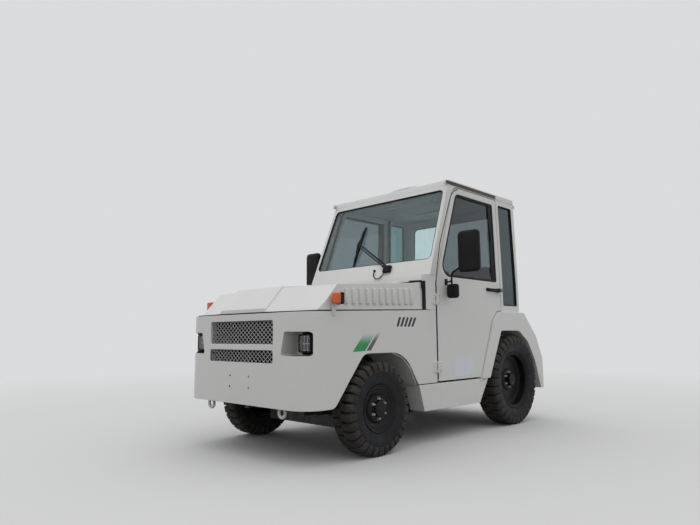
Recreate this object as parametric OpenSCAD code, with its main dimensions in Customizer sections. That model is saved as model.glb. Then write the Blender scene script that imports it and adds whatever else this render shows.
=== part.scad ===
// Cabbed tow tractor for airport carts, in millimetres.
// X is the vehicle's left, the front faces -Y, and Z = 0 is the ground.
// Places along the vehicle are distances behind the front plate's face.

/* [Whole vehicle] */
// Width over the front and side plates
body_w = 1300; // [1260:10:1360]
// Front axle behind the front plate's face
front_axle_y = 619; // [600:1:640]
// Distance between the two axles
wheelbase = 1787; // [1770:1:1800]

/* [Wheels] */
// Diameter of a front tyre over its lugs
front_tyre_d = 590; // [570:2:600]
// Width of a front tyre at its sidewalls
front_tyre_w = 166; // [150:2:176]
// Middle of a front tyre inside the side plate's face
front_tyre_inset = 52; // [46:1:60]
// Diameter over a front rim's flanges
front_rim_d = 302; // [290:2:320]
// Diameter of a rear tyre over its lugs
rear_tyre_d = 747; // [730:1:752]
// Width of a rear tyre at its sidewalls
rear_tyre_w = 196; // [180:2:204]
// Middle of a rear tyre inside the side plate's face
rear_tyre_inset = 70; // [66:1:78]
// Diameter over a rear rim's flanges
rear_rim_d = 470; // [450:2:484]
// Depth of the gaps between the tread lugs
lug_h = 12; // [8:1:16]
// Width of the gaps between the tread lugs
lug_gap = 11; // [8:1:14]
// Number of lugs on each shoulder of a front tyre
front_lugs = 30; // [24:1:34]
// Number of lugs on each shoulder of a rear tyre
rear_lugs = 32; // [26:1:36]
// Diameter of the wheel nuts' circle
nut_circle_d = 124; // [116:2:132]
// Radius of a wheel spindle where the hub runs
spindle_r = 28; // [24:1:32]
// Running clearance of hubs and kingpins, in radius
run_gap = 0.05; // [0.02:0.01:0.1]

/* [Steering] */
// Kingpin inside the middle of its tyre
kingpin_inset = 128; // [122:1:134]
// Radius of a kingpin
kingpin_r = 18; // [15:1:20]
// Height of the axle beam's eye
eye_h = 90; // [80:2:100]
// Length of a track arm behind its kingpin
track_arm_l = 150; // [140:2:160]

/* [Front plate] */
// Thickness of the front and side plates
plate_t = 12; // [8:1:16]
// Radius of the plate's front corners
plate_corner_r = 150; // [120:5:180]
// Height of the plate's lower edge
plate_bottom_z = 327; // [315:1:340]
// Height of the plate's upper edge at the front
plate_top_front_z = 902; // [890:1:910]
// Height of the plate's upper edge at the cab
plate_top_rear_z = 944; // [936:1:950]
// Half width of the grille openings
grille_half_w = 344; // [320:2:360]
// Spacing of the mesh's diamonds across
mesh_pitch_x = 40; // [36:1:46]
// Spacing of the mesh's diamonds up
mesh_pitch_z = 30; // [26:1:36]
// Width of the mesh's strands
mesh_strand = 5; // [4:0.5:7]
// Lamp pocket's inner edge from the side plate's face
pocket_run = 231; // [225:1:240]
// Depth of the lamp pockets behind the front face
pocket_back_y = 125; // [118:1:135]
// Half spacing across of the four front coupling holes
front_hole_dx = 102; // [95:1:110]
// Half spacing up of the four front coupling holes
front_hole_dz = 35; // [30:1:40]
// Height of the middle of the four front coupling holes
front_hole_z = 470; // [460:1:480]
// Radius of a front coupling hole
front_hole_r = 7; // [5:0.5:9]

/* [Hood] */
// Gap between hood and plate
hood_gap = 8; // [6:1:12]
// Thickness of the hood's shell
hood_t = 6; // [4:1:8]
// Hood's sides inside the side plates' faces
hood_inset = 8; // [6:1:15]
// Radius of the hood's front corners
hood_corner_r = 180; // [160:5:200]
// Hood's rear edge behind the front face
hood_rear_y = 1090; // [1080:1:1094]
// Height of the hood's top at its rear edge
hood_rear_z = 1135; // [1125:1:1140]
// Height of the hood's top where the nose slope ends
hood_nose_z = 1068; // [1060:1:1075]
// How far the middle panel stands above the rest
hood_rise = 12; // [8:1:16]
// Half width of the middle panel
hood_panel_half_w = 250; // [230:2:270]
// Number of louvres on each side of the hood
louvre_count = 11; // [9:1:12]
// Spacing of the louvres
louvre_pitch = 65.6; // [60:0.2:66]
// How far a louvre stands out
louvre_proud = 7; // [5:1:7]

/* [Cab] */
// Thickness of the cab's walls, pillars and doors
cab_t = 40; // [34:1:44]
// Windscreen plane's distance behind the front face at its foot
screen_foot_y = 1262; // [1255:1:1270]
// Height of the windscreen's lower edge
screen_foot_z = 1329; // [1320:1:1340]
// Rake of the windscreen plane from upright, in degrees
screen_rake = 21.5; // [20:0.5:23]
// Height of the roof's front edge over the windscreen
screen_header = 85; // [80:1:95]
// Top of the roof
roof_top_z = 1990; // [1980:1:2000]
// Thickness of the roof panel
roof_t = 48; // [44:1:54]
// Height of the header over the door windows
window_header = 57; // [52:1:62]
// How far the cab's sides lean in at the roof
cab_lean = 20; // [14:1:26]
// Height where the cab's sides start to lean in
lean_start_z = 1200; // [1180:5:1220]
// Rear face of the cab behind the rear axle
cab_overhang = 144; // [134:1:154]
// Radius of the hole in a lifting eye
eye_hole_r = 10; // [8:0.5:12]
// Thickness of a lifting eye
eye_t = 10; // [8:1:12]
// Thickness of the glass
glass_t = 6; // [4:0.5:8]
// How far the glass lies behind the panels' outer faces
glass_inset = 14; // [10:1:18]
// Top of the cab floor
floor_z = 445; // [435:1:450]

/* [Doors] */
// Gap round the doors
door_gap = 8; // [6:1:10]
// Door hinge line behind the front face
door_hinge_y = 1281; // [1278:1:1284]
// Length of the side frame behind the door
side_frame_w = 316; // [310:1:322]
// Lower edge of the door
door_bottom_z = 427; // [422:1:432]
// Width of the door's window frame
door_frame_w = 52; // [46:1:58]

/* [Rear] */
// How far the fenders stand out from the plates
fender_proud = 15; // [10:1:20]
// Gap between a rear tyre and its housing's inner wall
housing_clear = 27; // [22:1:32]
// Top of the rear fenders
fender_top_z = 955; // [950:1:960]
// Rear face of the body behind the rear axle
rear_overhang = 529; // [520:1:536]
// Length of the rear tow jaw behind the body
jaw_reach = 115; // [105:1:130]
// Height of the rear tow jaw's middle
hitch_z = 390; // [370:5:410]
// Radius of the rear tow pin
hitch_pin_r = 16; // [12:1:20]

/* [Hidden] */
$fn = 48;
half_w = body_w / 2;
front_r = front_tyre_d / 2;
rear_r = rear_tyre_d / 2;
rear_axle_y = front_axle_y + wheelbase;
cab_rear_y = rear_axle_y + cab_overhang;
body_rear_y = rear_axle_y + rear_overhang;
overall_l = body_rear_y + jaw_reach;
front_track_x = half_w - front_tyre_inset;
rear_track_x = half_w - rear_tyre_inset;
kingpin_x = front_track_x - kingpin_inset;
rail_x = kingpin_x - 145;
housing_x = rear_track_x - rear_tyre_w / 2 - housing_clear;
hood_half_w = half_w - hood_inset;
roof_low_z = roof_top_z - roof_t;
screen_top_z = roof_top_z - screen_header;
window_top_z = roof_low_z - window_header;
door_rear_y = cab_rear_y - side_frame_w - door_gap;
rake_run = tan(screen_rake);
lean_run = cab_lean / (roof_top_z - lean_start_z);
door_front_y = door_hinge_y + door_gap / 2;
post_rear_y = door_hinge_y - door_gap / 2;
cowl_front_y = hood_rear_y + 8;
firewall_y = cowl_front_y + 62;
firewall_rear_y = firewall_y + 12;
paint = [0.86, 0.86, 0.83];
dark = [0.06, 0.06, 0.065];
glass_tint = [0.45, 0.66, 0.68, 0.45];

// Helpers

// Moves a piece from the front face's zero to the middle of the vehicle
module place() {
    translate([0, -overall_l / 2, 0]) children();
}

// A piece and its mirror image on the other side
module both() {
    children();
    mirror([1, 0, 0]) children();
}

// The left piece, or its mirror image for side -1
module on_side(side) {
    scale_x = side > 0 ? 0 : 1;
    mirror([scale_x, 0, 0]) children();
}

// Box from its low corner to its high corner
module block(low, high) {
    translate(low) cube([high[0] - low[0], high[1] - low[1], high[2] - low[2]]);
}

// Points of an outline whose corners [a, b, radius] are rounded by arcs
function unit(v) = v / norm(v);
function corner_arc(p, q, s, r) =
    let (u = unit([p[0] - q[0], p[1] - q[1]]), v = unit([s[0] - q[0], s[1] - q[1]]))
    let (half = acos(max(-1, min(1, u * v))) / 2, reach = r / tan(half))
    let (mid = unit(u + v), c = [q[0], q[1]] + mid * (r / sin(half)))
    let (a = [q[0], q[1]] + u * reach, b = [q[0], q[1]] + v * reach)
    let (steps = 6)
    [for (i = [0:steps])
        let (t = i / steps, w = unit((a - c) * (1 - t) + (b - c) * t)) c + w * r];
function rounded(pts) =
    let (n = len(pts))
    [for (i = [0:n - 1])
        let (p = pts[(i + n - 1) % n], q = pts[i], s = pts[(i + 1) % n])
        each q[2] > 0 ? corner_arc(p, q, s, q[2]) : [[q[0], q[1]]]];

// Prism across the vehicle from a side outline of [distance, height] points
module side_prism(points, x0, x1) {
    translate([x0, 0, 0]) rotate([90, 0, 90]) linear_extrude(x1 - x0) polygon(points);
}

// Prism along the vehicle from a front outline of [x, height] points
module front_prism(points, y0, y1) {
    translate([0, y1, 0]) rotate([90, 0, 0]) linear_extrude(y1 - y0) polygon(points);
}

// Round bar along X, Y or Z
module bar_x(r, x0, x1) {
    translate([x0, 0, 0]) rotate([0, 90, 0]) cylinder(r = r, h = x1 - x0);
}
module bar_y(r, y0, y1) {
    translate([0, y1, 0]) rotate([90, 0, 0]) cylinder(r = r, h = y1 - y0);
}

// Front and side plates

// Plan of the front with two round corners, drawn inwards by inset
module front_plan(half, front_y, rear_y, corner_r, inset) {
    w = half - inset;
    y0 = front_y + inset;
    r = corner_r - inset;
    translate([-w + r, y0]) square([2 * (w - r), rear_y - y0]);
    translate([-w, y0 + r]) square([2 * w, rear_y - y0 - r]);
    translate([w - r, y0 + r]) circle(r = r);
    translate([-w + r, y0 + r]) circle(r = r);
}

// Side outline of the plates: [distance, height, corner radius]
arch_z = 646;
plate_side = [
    [-5, plate_bottom_z, 0],
    [front_axle_y - 387, plate_bottom_z, 60],
    [front_axle_y - 125, arch_z, 90],
    [front_axle_y + 281, arch_z, 245],
    [front_axle_y + 434, door_bottom_z - door_gap, 0],
    [post_rear_y, door_bottom_z - door_gap, 0],
    [post_rear_y, plate_top_rear_z, 0],
    [-5, plate_top_front_z, 0]];

// Grille openings: [low height, high height]
grille_rows = [[709, 858], [593, 673]];
// Lamp pocket outline seen from the front: [x, height, corner radius]
pocket_x = half_w - pocket_run;
pocket_rim = 21;
pocket = [[pocket_x, 642, 12], [pocket_x + 33, 785, 12],
    [half_w - pocket_rim, 785, 16], [half_w - pocket_rim, 642, 16]];
pocket_wall_t = 8;

module grille_opening(row, grow, y0, y1) {
    w = grille_half_w + grow;
    front_prism(rounded([[-w, row[0] - grow, 14], [w, row[0] - grow, 14],
        [w, row[1] + grow, 14], [-w, row[1] + grow, 14]]), y0, y1);
}

module front_plate() {
    color(paint) place() difference() {
        intersection() {
            linear_extrude(roof_top_z) difference() {
                front_plan(half_w, 0, post_rear_y, plate_corner_r, 0);
                front_plan(half_w, 0, post_rear_y + 1, plate_corner_r, plate_t);
            }
            side_prism(rounded(plate_side), -half_w - 1, half_w + 1);
        }
        for (row = grille_rows) grille_opening(row, 0, -1, plate_t + 1);
        both() front_prism(rounded(pocket), -1, pocket_back_y);
        for (sx = [-1, 1], sz = [-1, 1])
            translate([sx * front_hole_dx, 0, front_hole_z + sz * front_hole_dz])
                bar_y(front_hole_r, -1, plate_t + 1);
    }
    color(paint) place() both() {
        lamp_pocket();
        arch_liner();
        fixed_leaf(door_hinge_z[0]);
    }
}

// Sheet box behind the lamp opening, inside the plate
pocket_mid = [half_w - 125, 714];
pocket_outer = [for (p = pocket) [
    p[0] + sign(p[0] - pocket_mid[0]) * pocket_wall_t,
    p[1] + sign(p[1] - pocket_mid[1]) * pocket_wall_t, p[2]]];
module lamp_pocket() {
    intersection() {
        difference() {
            front_prism(rounded(pocket_outer), plate_t, pocket_back_y + pocket_wall_t);
            front_prism(rounded(pocket), 0, pocket_back_y);
        }
        linear_extrude(roof_top_z) front_plan(half_w, 0, front_axle_y, plate_corner_r, plate_t);
    }
}

// Sheet that lines the front wheel arch
liner_t = 5;
module arch_liner() {
    x0 = rail_x + 20;
    side_prism([
        [front_axle_y - 170, arch_z], [front_axle_y + 150, arch_z], [front_axle_y + 265, arch_z - 36],
        [front_axle_y + 345, arch_z - 106], [front_axle_y + 423, door_bottom_z - 13],
        [front_axle_y + 430, door_bottom_z - 13], [front_axle_y + 350, arch_z - 100],
        [front_axle_y + 269, arch_z - 30], [front_axle_y + 152, arch_z + liner_t],
        [front_axle_y - 170, arch_z + liner_t]],
        x0, half_w - plate_t);
}

// Diamond mesh of crossing strands in a frame, seen from the front
mesh_frame_w = 6;
mesh_t = 4;
mesh_angle = atan2(mesh_pitch_z, mesh_pitch_x);
module mesh_outline(row, grow) {
    w = grille_half_w + grow;
    polygon(rounded([[-w, row[0] - grow, 14], [w, row[0] - grow, 14],
        [w, row[1] + grow, 14], [-w, row[1] + grow, 14]]));
}
module mesh_panel(row) {
    height = row[1] - row[0];
    count = ceil((grille_half_w + height * mesh_pitch_x / mesh_pitch_z) / mesh_pitch_x) + 1;
    difference() {
        mesh_outline(row, mesh_frame_w);
        mesh_outline(row, 0);
    }
    intersection() {
        mesh_outline(row, 1);
        for (turn = [-1, 1], i = [-count:count])
            translate([i * mesh_pitch_x, (row[0] + row[1]) / 2])
                rotate(turn * mesh_angle)
                    square([2 * height / sin(mesh_angle), mesh_strand], center = true);
    }
}

module grilles() {
    color([0.4, 0.4, 0.4]) place() for (row = grille_rows)
        translate([0, plate_t + mesh_t, 0]) rotate([90, 0, 0])
            linear_extrude(mesh_t) mesh_panel(row);
}

module tow_rings() {
    ring_x = rail_x + 59;
    ring_y = 48;
    ring_z = 302;
    color(paint) place() for (side = [-1, 1]) translate([side * ring_x, 0, 0]) difference() {
        union() {
            translate([0, 0, ring_z]) bar_y(39, ring_y - 11, ring_y + 11);
            block([-39, ring_y - 11, ring_z], [39, ring_y + 11, plate_bottom_z + 8]);
            block([-39, plate_t, plate_bottom_z + 8], [39, 120, plate_bottom_z + 33]);
        }
        translate([0, 0, ring_z]) bar_y(19, ring_y - 12, ring_y + 12);
    }
}

// Square work lamp: middle, front, half size of the case and of the lens
lamp_x = half_w - 87;
lamp_z = 716;
lamp_y = 62;
lamp_half = 54;
lens_half = 42;
lamp_rim = 6;
lamp_case_t = 30;
fin_pitch = 14;
fin_run = 14;

// Square outline with round corners about the lamp's middle
function lamp_square(half, r) = rounded([for (c = [[-1, -1], [1, -1], [1, 1], [-1, 1]])
    [lamp_x + c[0] * half, lamp_z + c[1] * half, r]]);

module headlamps() {
    back = lamp_y + lamp_case_t;
    color(dark) place() both() {
        difference() {
            front_prism(lamp_square(lamp_half, 10), lamp_y, back);
            front_prism(lamp_square(lens_half, 6), lamp_y - 1, lamp_y + lamp_rim);
        }
        for (i = [-3:3]) block([lamp_x - lamp_half + 8, back - 1, lamp_z + i * fin_pitch - 2],
            [lamp_x + lamp_half - 8, back + fin_run, lamp_z + i * fin_pitch + 2]);
        block([lamp_x - 20, back - 1, lamp_z - 20], [lamp_x + 20, pocket_back_y, lamp_z + 20]);
    }
}

// Marker lamp on a bracket at the side: front edge, middle height and size
marker_y = 192;
marker_z = 985;
marker_w = 60;
marker_h = 74;

module marker_lamps() {
    low = marker_z - marker_h / 2;
    high = marker_z + marker_h / 2;
    color([0.9, 0.4, 0.05]) place() both() {
        block([half_w, marker_y + 14, plate_top_front_z - 22], [half_w + 6, marker_y + 46, low + 4]);
        block([half_w, marker_y + 20, low - 8], [half_w + 42, marker_y + 40, low + 4]);
        translate([half_w + 8, 0, 0]) side_prism(rounded([
            [marker_y, low, 14], [marker_y + marker_w, low, 10],
            [marker_y + marker_w, high, 10], [marker_y, high, 14]]), 0, marker_w);
    }
}

// Hood

// Side outline of the hood without its nose facets, drawn inwards by inset
function hood_side(inset, rise) = [
    [-5, plate_top_front_z + hood_gap - (inset > 0 ? 20 : 0)],
    [-5, hood_nose_z - inset + rise - 12],
    [nose_top_y, hood_nose_z - inset + rise],
    [hood_rear_y + (inset > 0 ? 1 : 0), hood_rear_z - inset + rise],
    [hood_rear_y + (inset > 0 ? 1 : 0), plate_top_rear_z + hood_gap - 8 - (inset > 0 ? 20 : 0)]];
hood_front_y = 12;
nose_foot_y = 35;
nose_foot_z = 948;
nose_top_y = 140;
nose_foot_x = hood_panel_half_w - 21;
nose_angle = atan2(hood_nose_z - nose_foot_z, nose_top_y - nose_foot_y);
facet_turn = 15;

// Half space in front of the sloping nose, turned by yaw about the panel's corner
module nose_cut(yaw, inset, x0) {
    translate([x0, nose_foot_y, nose_foot_z]) rotate([0, 0, yaw]) rotate([nose_angle, 0, 0])
        translate([-body_w, -400, -inset]) cube([2 * body_w, 2000, 900]);
}

module hood_form(inset, rise, half) {
    difference() {
        intersection() {
            linear_extrude(roof_top_z) front_plan(half, hood_front_y, hood_rear_y + (inset > 0 ? 1 : 0),
                hood_corner_r, inset);
            side_prism(hood_side(inset, rise), -half_w, half_w);
        }
        translate([0, 0, rise]) {
            nose_cut(0, inset, 0);
            both() nose_cut(facet_turn, inset, nose_foot_x);
        }
    }
}

// Pressed louvre on the hood's side: a wedge with its open edge to the rear
louvre_y = 339;
louvre_w = 30;
// Lower and upper end of the first louvre, and the rise of each per length
louvre_low = [960, 0.028];
louvre_high = [1049, 0.055];
module louvre(i) {
    y = louvre_y + i * louvre_pitch;
    low = louvre_low[0] + i * louvre_pitch * louvre_low[1];
    high = louvre_high[0] + i * louvre_pitch * louvre_high[1];
    x = hood_half_w;
    translate([0, 0, low]) linear_extrude(high - low) polygon([
        [x - 1, y - louvre_w / 2], [x, y - louvre_w / 2],
        [x + louvre_proud * 0.8, y + louvre_w / 4], [x + louvre_proud, y + louvre_w / 2 - 3],
        [x + louvre_proud * 0.7, y + louvre_w / 2], [x - 1, y + louvre_w / 2]]);
}

module hood() {
    color(paint) place() difference() {
        union() {
            hood_form(0, 0, hood_half_w);
            intersection() {
                hood_form(0, hood_rise, hood_half_w);
                block([-hood_panel_half_w, -10, plate_top_front_z],
                    [hood_panel_half_w, hood_rear_y, roof_top_z]);
            }
        }
        hood_form(hood_t, 0, hood_half_w);
    }
    color(paint) place() both() for (i = [0:louvre_count - 1]) louvre(i);
    color(paint) place() for (side = [-1, 1])
        translate([side * hinge_x, 0, 0]) difference() {
            union() {
                translate([0, hood_hinge_y, hood_hinge_z]) bar_x(8, -15, 15);
                block([-15, hood_hinge_y - 50, hood_rear_z - 6], [15, hood_hinge_y, hood_rear_z + 7]);
            }
            translate([0, hood_hinge_y, hood_hinge_z]) bar_x(hood_pin_r + run_gap, -16, 16);
        }
}

// Rubber seal round the cowl, behind the hood
seal_w = 18;
module hood_seal() {
    x1 = half_w - 3;
    y0 = cowl_front_y + 38;
    y1 = y0 + seal_w;
    color(dark) place() difference() {
        block([-x1, y0, plate_top_rear_z + 1], [x1, y1, cowl_z + 13]);
        block([-cowl_half_w, y0 - 1, plate_top_rear_z], [cowl_half_w, y1 + 1, cowl_z]);
    }
}

// Engine block, and the radiator in front of it: distances and heights
engine_y = [front_axle_y - 289, front_axle_y + 381];
engine_z = [floor_z - 45, plate_top_front_z - 2];
engine_half_w = rail_x - 95;
engine_foot_y = [engine_y[0] + 90, engine_y[1] - 140];
radiator_y = [60, 120];
radiator_z = [560, 880];
radiator_half_w = rail_x + 5;
module engine() {
    color([0.25, 0.25, 0.26]) place() {
        block([-radiator_half_w, radiator_y[0], radiator_z[0]],
            [radiator_half_w, radiator_y[1], radiator_z[1]]);
        block([-engine_half_w, engine_y[0], engine_z[0]], [engine_half_w, engine_y[1], engine_z[1]]);
        both() {
            for (y = engine_foot_y)
                block([engine_half_w - 13, y, rail_high_z], [rail_x + 8, y + 60, rail_high_z + 25]);
            block([rail_x - 20, radiator_y[0] + 10, rail_high_z],
                [rail_x + 20, radiator_y[1] - 10, radiator_z[0] + 5]);
        }
    }
}

// Cab

function screen_y(z) = screen_foot_y + (z - screen_foot_z) * rake_run;
function lean_x(z) = half_w - max(0, z - lean_start_z) * lean_run;

// Front outline of the cab with leaning sides, drawn inwards by inset
function cab_front_outline(inset, low_z, high_z) = [
    [-half_w + inset, low_z], [half_w - inset, low_z],
    [half_w - inset, lean_start_z],
    [lean_x(high_z) - inset, high_z],
    [-lean_x(high_z) + inset, high_z],
    [-half_w + inset, lean_start_z]];

// Side outline of the cab from cowl to roof, drawn inwards by inset
cowl_top_z = 1205;
function cab_side_outline(inset, low_z) = [
    [screen_y(cowl_top_z) + inset / cos(screen_rake), low_z],
    [screen_y(cowl_top_z) + inset / cos(screen_rake), cowl_top_z],
    [screen_y(roof_top_z) + inset / cos(screen_rake) - inset * rake_run, roof_top_z - inset],
    [cab_rear_y - inset, roof_top_z - inset],
    [cab_rear_y - inset, low_z]];

module cab_body(inset, low_z) {
    intersection() {
        side_prism(cab_side_outline(inset, low_z), -half_w, half_w);
        front_prism(cab_front_outline(inset, low_z - 1, roof_top_z), 0, overall_l);
    }
}

module cab_shell(low_z) {
    difference() {
        cab_body(0, low_z);
        cab_body(cab_t, low_z - 1);
    }
}

// Windscreen opening: [x, distance up the glass plane, corner radius]
screen_len = (screen_top_z - screen_foot_z) / cos(screen_rake);
screen_foot_x = half_w - 28;
screen_top_x = half_w - 50;
module screen_form(grow, t0, t1) {
    translate([0, screen_foot_y, screen_foot_z]) rotate([90 - screen_rake, 0, 0])
        translate([0, 0, t0]) linear_extrude(t1 - t0) polygon(rounded([
            [-screen_foot_x - grow, -grow, 40], [screen_foot_x + grow, -grow, 40],
            [screen_top_x + grow, screen_len + grow, 40],
            [-screen_top_x - grow, screen_len + grow, 40]]));
}

// Outline of a rear fender: [distance, height, corner radius]
fender_top_y = rear_axle_y + 204;
rear_low_z = 275;
fender_side = [
    [rear_axle_y - 532, door_bottom_z - 14, 0],
    [rear_axle_y - 324, 878, 60],
    [rear_axle_y - 241, fender_top_z, 60],
    [fender_top_y, fender_top_z, 40],
    [body_rear_y - 110, 745, 160],
    [body_rear_y, 540, 60],
    [body_rear_y, rear_low_z, 0],
    [body_rear_y - 52, rear_low_z, 0],
    [rear_axle_y + 379, 528, 200],
    [rear_axle_y + 255, 700, 200],
    [rear_axle_y + 100, 794, 120],
    [rear_axle_y - 208, 794, 30],
    [rear_axle_y - 412, door_bottom_z - 14, 0]];

// Corner of an outline moved out by a gap, with its radius
function gap_corner(outline, i, gap) =
    let (p = outline[i - 1], q = outline[i], s = outline[i + 1])
    let (u = unit([p[0] - q[0], p[1] - q[1]]), v = unit([s[0] - q[0], s[1] - q[1]]))
    let (half = acos(u * v) / 2, c = [q[0], q[1]] - unit(u + v) * (gap / sin(half)))
    [c[0], c[1], q[2] + gap];
fender_knee = gap_corner(fender_side, 1, door_gap);
fender_slope = (fender_side[1][0] - fender_side[0][0]) / (fender_side[1][1] - fender_side[0][1]);

// Door outline: [distance, height, corner radius]
door_side = [
    [door_front_y, door_bottom_z, 12],
    [door_front_y + 2, 1150, 0],
    [screen_y(roof_low_z - door_gap) + 72, roof_low_z - door_gap, 110],
    [door_rear_y, roof_low_z - door_gap, 20],
    [door_rear_y, fender_top_z + door_gap, 0],
    gap_corner(fender_side, 2, door_gap),
    fender_knee,
    [fender_knee[0] - (fender_knee[1] - door_bottom_z) * fender_slope, door_bottom_z, 6]];
// Door window outline: [distance, height, corner radius]
door_window_y = door_front_y + 93;
door_window_low_z = 1203;
door_window = [
    [door_window_y, door_window_low_z, 90],
    [door_window_y, door_window_low_z + 97, 30],
    [screen_y(window_top_z) + 127, window_top_z, 60],
    [door_rear_y - door_frame_w, window_top_z, 20],
    [door_rear_y - door_frame_w, door_window_low_z, 20]];
// Quarter window outline: [distance, height, corner radius]
quarter_y = door_rear_y + 46;
quarter_low_z = fender_top_z + 55;
quarter_top_z = window_top_z + 10;
quarter_window = [
    [quarter_y, quarter_low_z, 16], [quarter_y, quarter_top_z, 16],
    [cab_rear_y - 50, quarter_top_z, 16], [cab_rear_y - 38, quarter_low_z, 16]];
// Rear window outline: [x, height, corner radius]
rear_window_x = half_w - 130;
rear_window_low_z = 1120;
rear_window_top_z = roof_low_z - 82;
rear_window = [
    [-rear_window_x, rear_window_low_z, 50], [rear_window_x, rear_window_low_z, 50],
    [rear_window_x - cab_lean, rear_window_top_z, 50],
    [cab_lean - rear_window_x, rear_window_top_z, 50]];

// The door's opening is its outline with the gap added on all sides
door_opening = [
    [post_rear_y, door_bottom_z - door_gap, 0],
    [post_rear_y + 2, 1150, 0],
    [screen_y(roof_low_z) + 66, roof_low_z, 116],
    [door_rear_y + door_gap, roof_low_z, 0],
    [door_rear_y + door_gap, door_bottom_z - door_gap, 0]];

// Door hinges: axis outside the cab's side, heights, leaf sizes
door_hinge_x = half_w + 9;
door_hinge_z = [530, 1026];
door_pin_r = 4;
door_barrel_r = 8;
leaf_half = 40;
barrel_half = 18;
leaf_plate_t = 5;

// Fixed leaf of a door hinge with its two barrels and the pin
module fixed_leaf(z) {
    block([half_w - 1, door_hinge_y - 52, z - leaf_half],
        [half_w + leaf_plate_t, door_hinge_y - 12, z + leaf_half]);
    for (low = [z - leaf_half, z + barrel_half + 1]) {
        block([half_w, door_hinge_y - 13, low],
            [half_w + leaf_plate_t, door_hinge_y, low + leaf_half - barrel_half - 1]);
        translate([door_hinge_x, door_hinge_y, low])
            cylinder(r = door_barrel_r, h = leaf_half - barrel_half - 1);
    }
    translate([door_hinge_x, door_hinge_y, z - leaf_half - 4])
        cylinder(r = door_pin_r, h = 2 * leaf_half + 8);
}

// Moving leaf of a door hinge, between the fixed barrels
module door_leaf(z) {
    difference() {
        union() {
            block([half_w - 1, door_hinge_y + 8, z - barrel_half],
                [half_w + leaf_plate_t, door_hinge_y + 52, z + barrel_half]);
            block([half_w, door_hinge_y, z - barrel_half],
                [half_w + leaf_plate_t, door_hinge_y + 9, z + barrel_half]);
            translate([door_hinge_x, door_hinge_y, z - barrel_half])
                cylinder(r = door_barrel_r, h = 2 * barrel_half);
        }
        translate([door_hinge_x, door_hinge_y, z - leaf_half])
            cylinder(r = door_pin_r + run_gap, h = 2 * leaf_half);
    }
}

// Cowl box behind the hood, and the hood's hinges on it
cowl_half_w = half_w - 16;
cowl_z = 1140;
hinge_x = half_w - 250;
hood_hinge_y = hood_rear_y + 4;
hood_hinge_z = cowl_z + 10;
hood_pin_r = 4;

module cab_front() {
    color(paint) place() {
        difference() {
            union() {
                intersection() {
                    cab_shell(plate_top_rear_z);
                    block([-half_w, 0, floor_z], [half_w, door_opening[2][0] + 60, roof_low_z]);
                }
                both() block([half_w - cab_t, firewall_y, plate_top_rear_z + 1],
                    [half_w, post_rear_y, cowl_top_z]);
            }
            side_prism(rounded(door_opening), -half_w - 1, half_w + 1);
            screen_form(0, -cab_t * 2, 20);
        }
        difference() {
            block([-cowl_half_w, cowl_front_y, plate_top_rear_z + 1], [cowl_half_w, firewall_y, cowl_z]);
            block([-cowl_half_w + 30, cowl_front_y - 1, plate_top_rear_z - 40],
                [cowl_half_w - 30, firewall_y + 1, cowl_z - 30]);
        }
        block([-half_w + plate_t, firewall_y, floor_z], [half_w - plate_t, firewall_rear_y, cowl_z]);
        both() fixed_leaf(door_hinge_z[1]);
        block([-half_w + cab_t - 2, firewall_rear_y - 1, cowl_z - 12],
            [half_w - cab_t + 2, screen_y(cowl_top_z) + 10, cowl_z]);
        for (side = [-1, 1]) translate([side * hinge_x, 0, 0]) {
            for (k = [-1, 1]) translate([k * 28, 0, 0]) {
                translate([0, hood_hinge_y, hood_hinge_z]) bar_x(8, -12, 12);
                block([-12, hood_hinge_y, hood_hinge_z - 8], [12, cowl_front_y + 1, hood_hinge_z + 2]);
                block([-12, cowl_front_y, cowl_z], [12, cowl_front_y + 30, hood_hinge_z + 2]);
            }
            translate([0, hood_hinge_y, hood_hinge_z]) bar_x(hood_pin_r, -30, 30);
        }
    }
}

module cab_glass() {
    color(glass_tint) place() {
        screen_form(-0.3, -glass_inset - glass_t, -glass_inset);
        front_prism(rounded([for (p = rear_window)
            [p[0] - sign(p[0]) * 0.3, p[1] + sign(1500 - p[1]) * 0.3, p[2]]]),
            cab_rear_y - glass_inset - glass_t, cab_rear_y - glass_inset);
        both() intersection() {
            side_prism(rounded([for (p = quarter_window)
                [p[0] + sign(cab_rear_y - 160 - p[0]) * 0.3, p[1] + sign(1500 - p[1]) * 0.3, p[2]]]),
                half_w - 90, half_w + 50);
            difference() {
                cab_body(glass_inset, deck_z);
                cab_body(glass_inset + glass_t, deck_z - 1);
            }
        }
    }
}

// Lifting eyes at the cab's corners: [distance, height] of the hole
eye_front = [screen_y(roof_low_z) - 12, roof_low_z + 12];
eye_rear = [cab_rear_y + 12, roof_low_z - 12];
eye_r = 24;
eye_x = half_w - cab_lean - 1;
module eye_plate(eye, web_y) {
    difference() {
        union() {
            translate([0, eye[0], eye[1]]) bar_x(eye_r, eye_x - eye_t, eye_x);
            block([eye_x - eye_t, min(eye[0], web_y), eye[1] - eye_r],
                [eye_x, max(eye[0], web_y), eye[1] + eye_r]);
        }
        eye_hole(eye);
    }
}
module eye_hole(eye) {
    translate([0, eye[0], eye[1]]) bar_x(eye_hole_r, eye_x - eye_t - 1, half_w);
}

module roof() {
    color(paint) place() difference() {
        union() {
            intersection() {
                cab_body(0, 900);
                block([-half_w, 0, roof_low_z], [half_w, overall_l, roof_top_z]);
            }
            both() intersection() {
                eye_plate(eye_front, eye_front[0] + 40);
                block([0, 0, roof_low_z], [half_w, overall_l, roof_top_z]);
            }
        }
        both() eye_hole(eye_front);
    }
}

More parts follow.
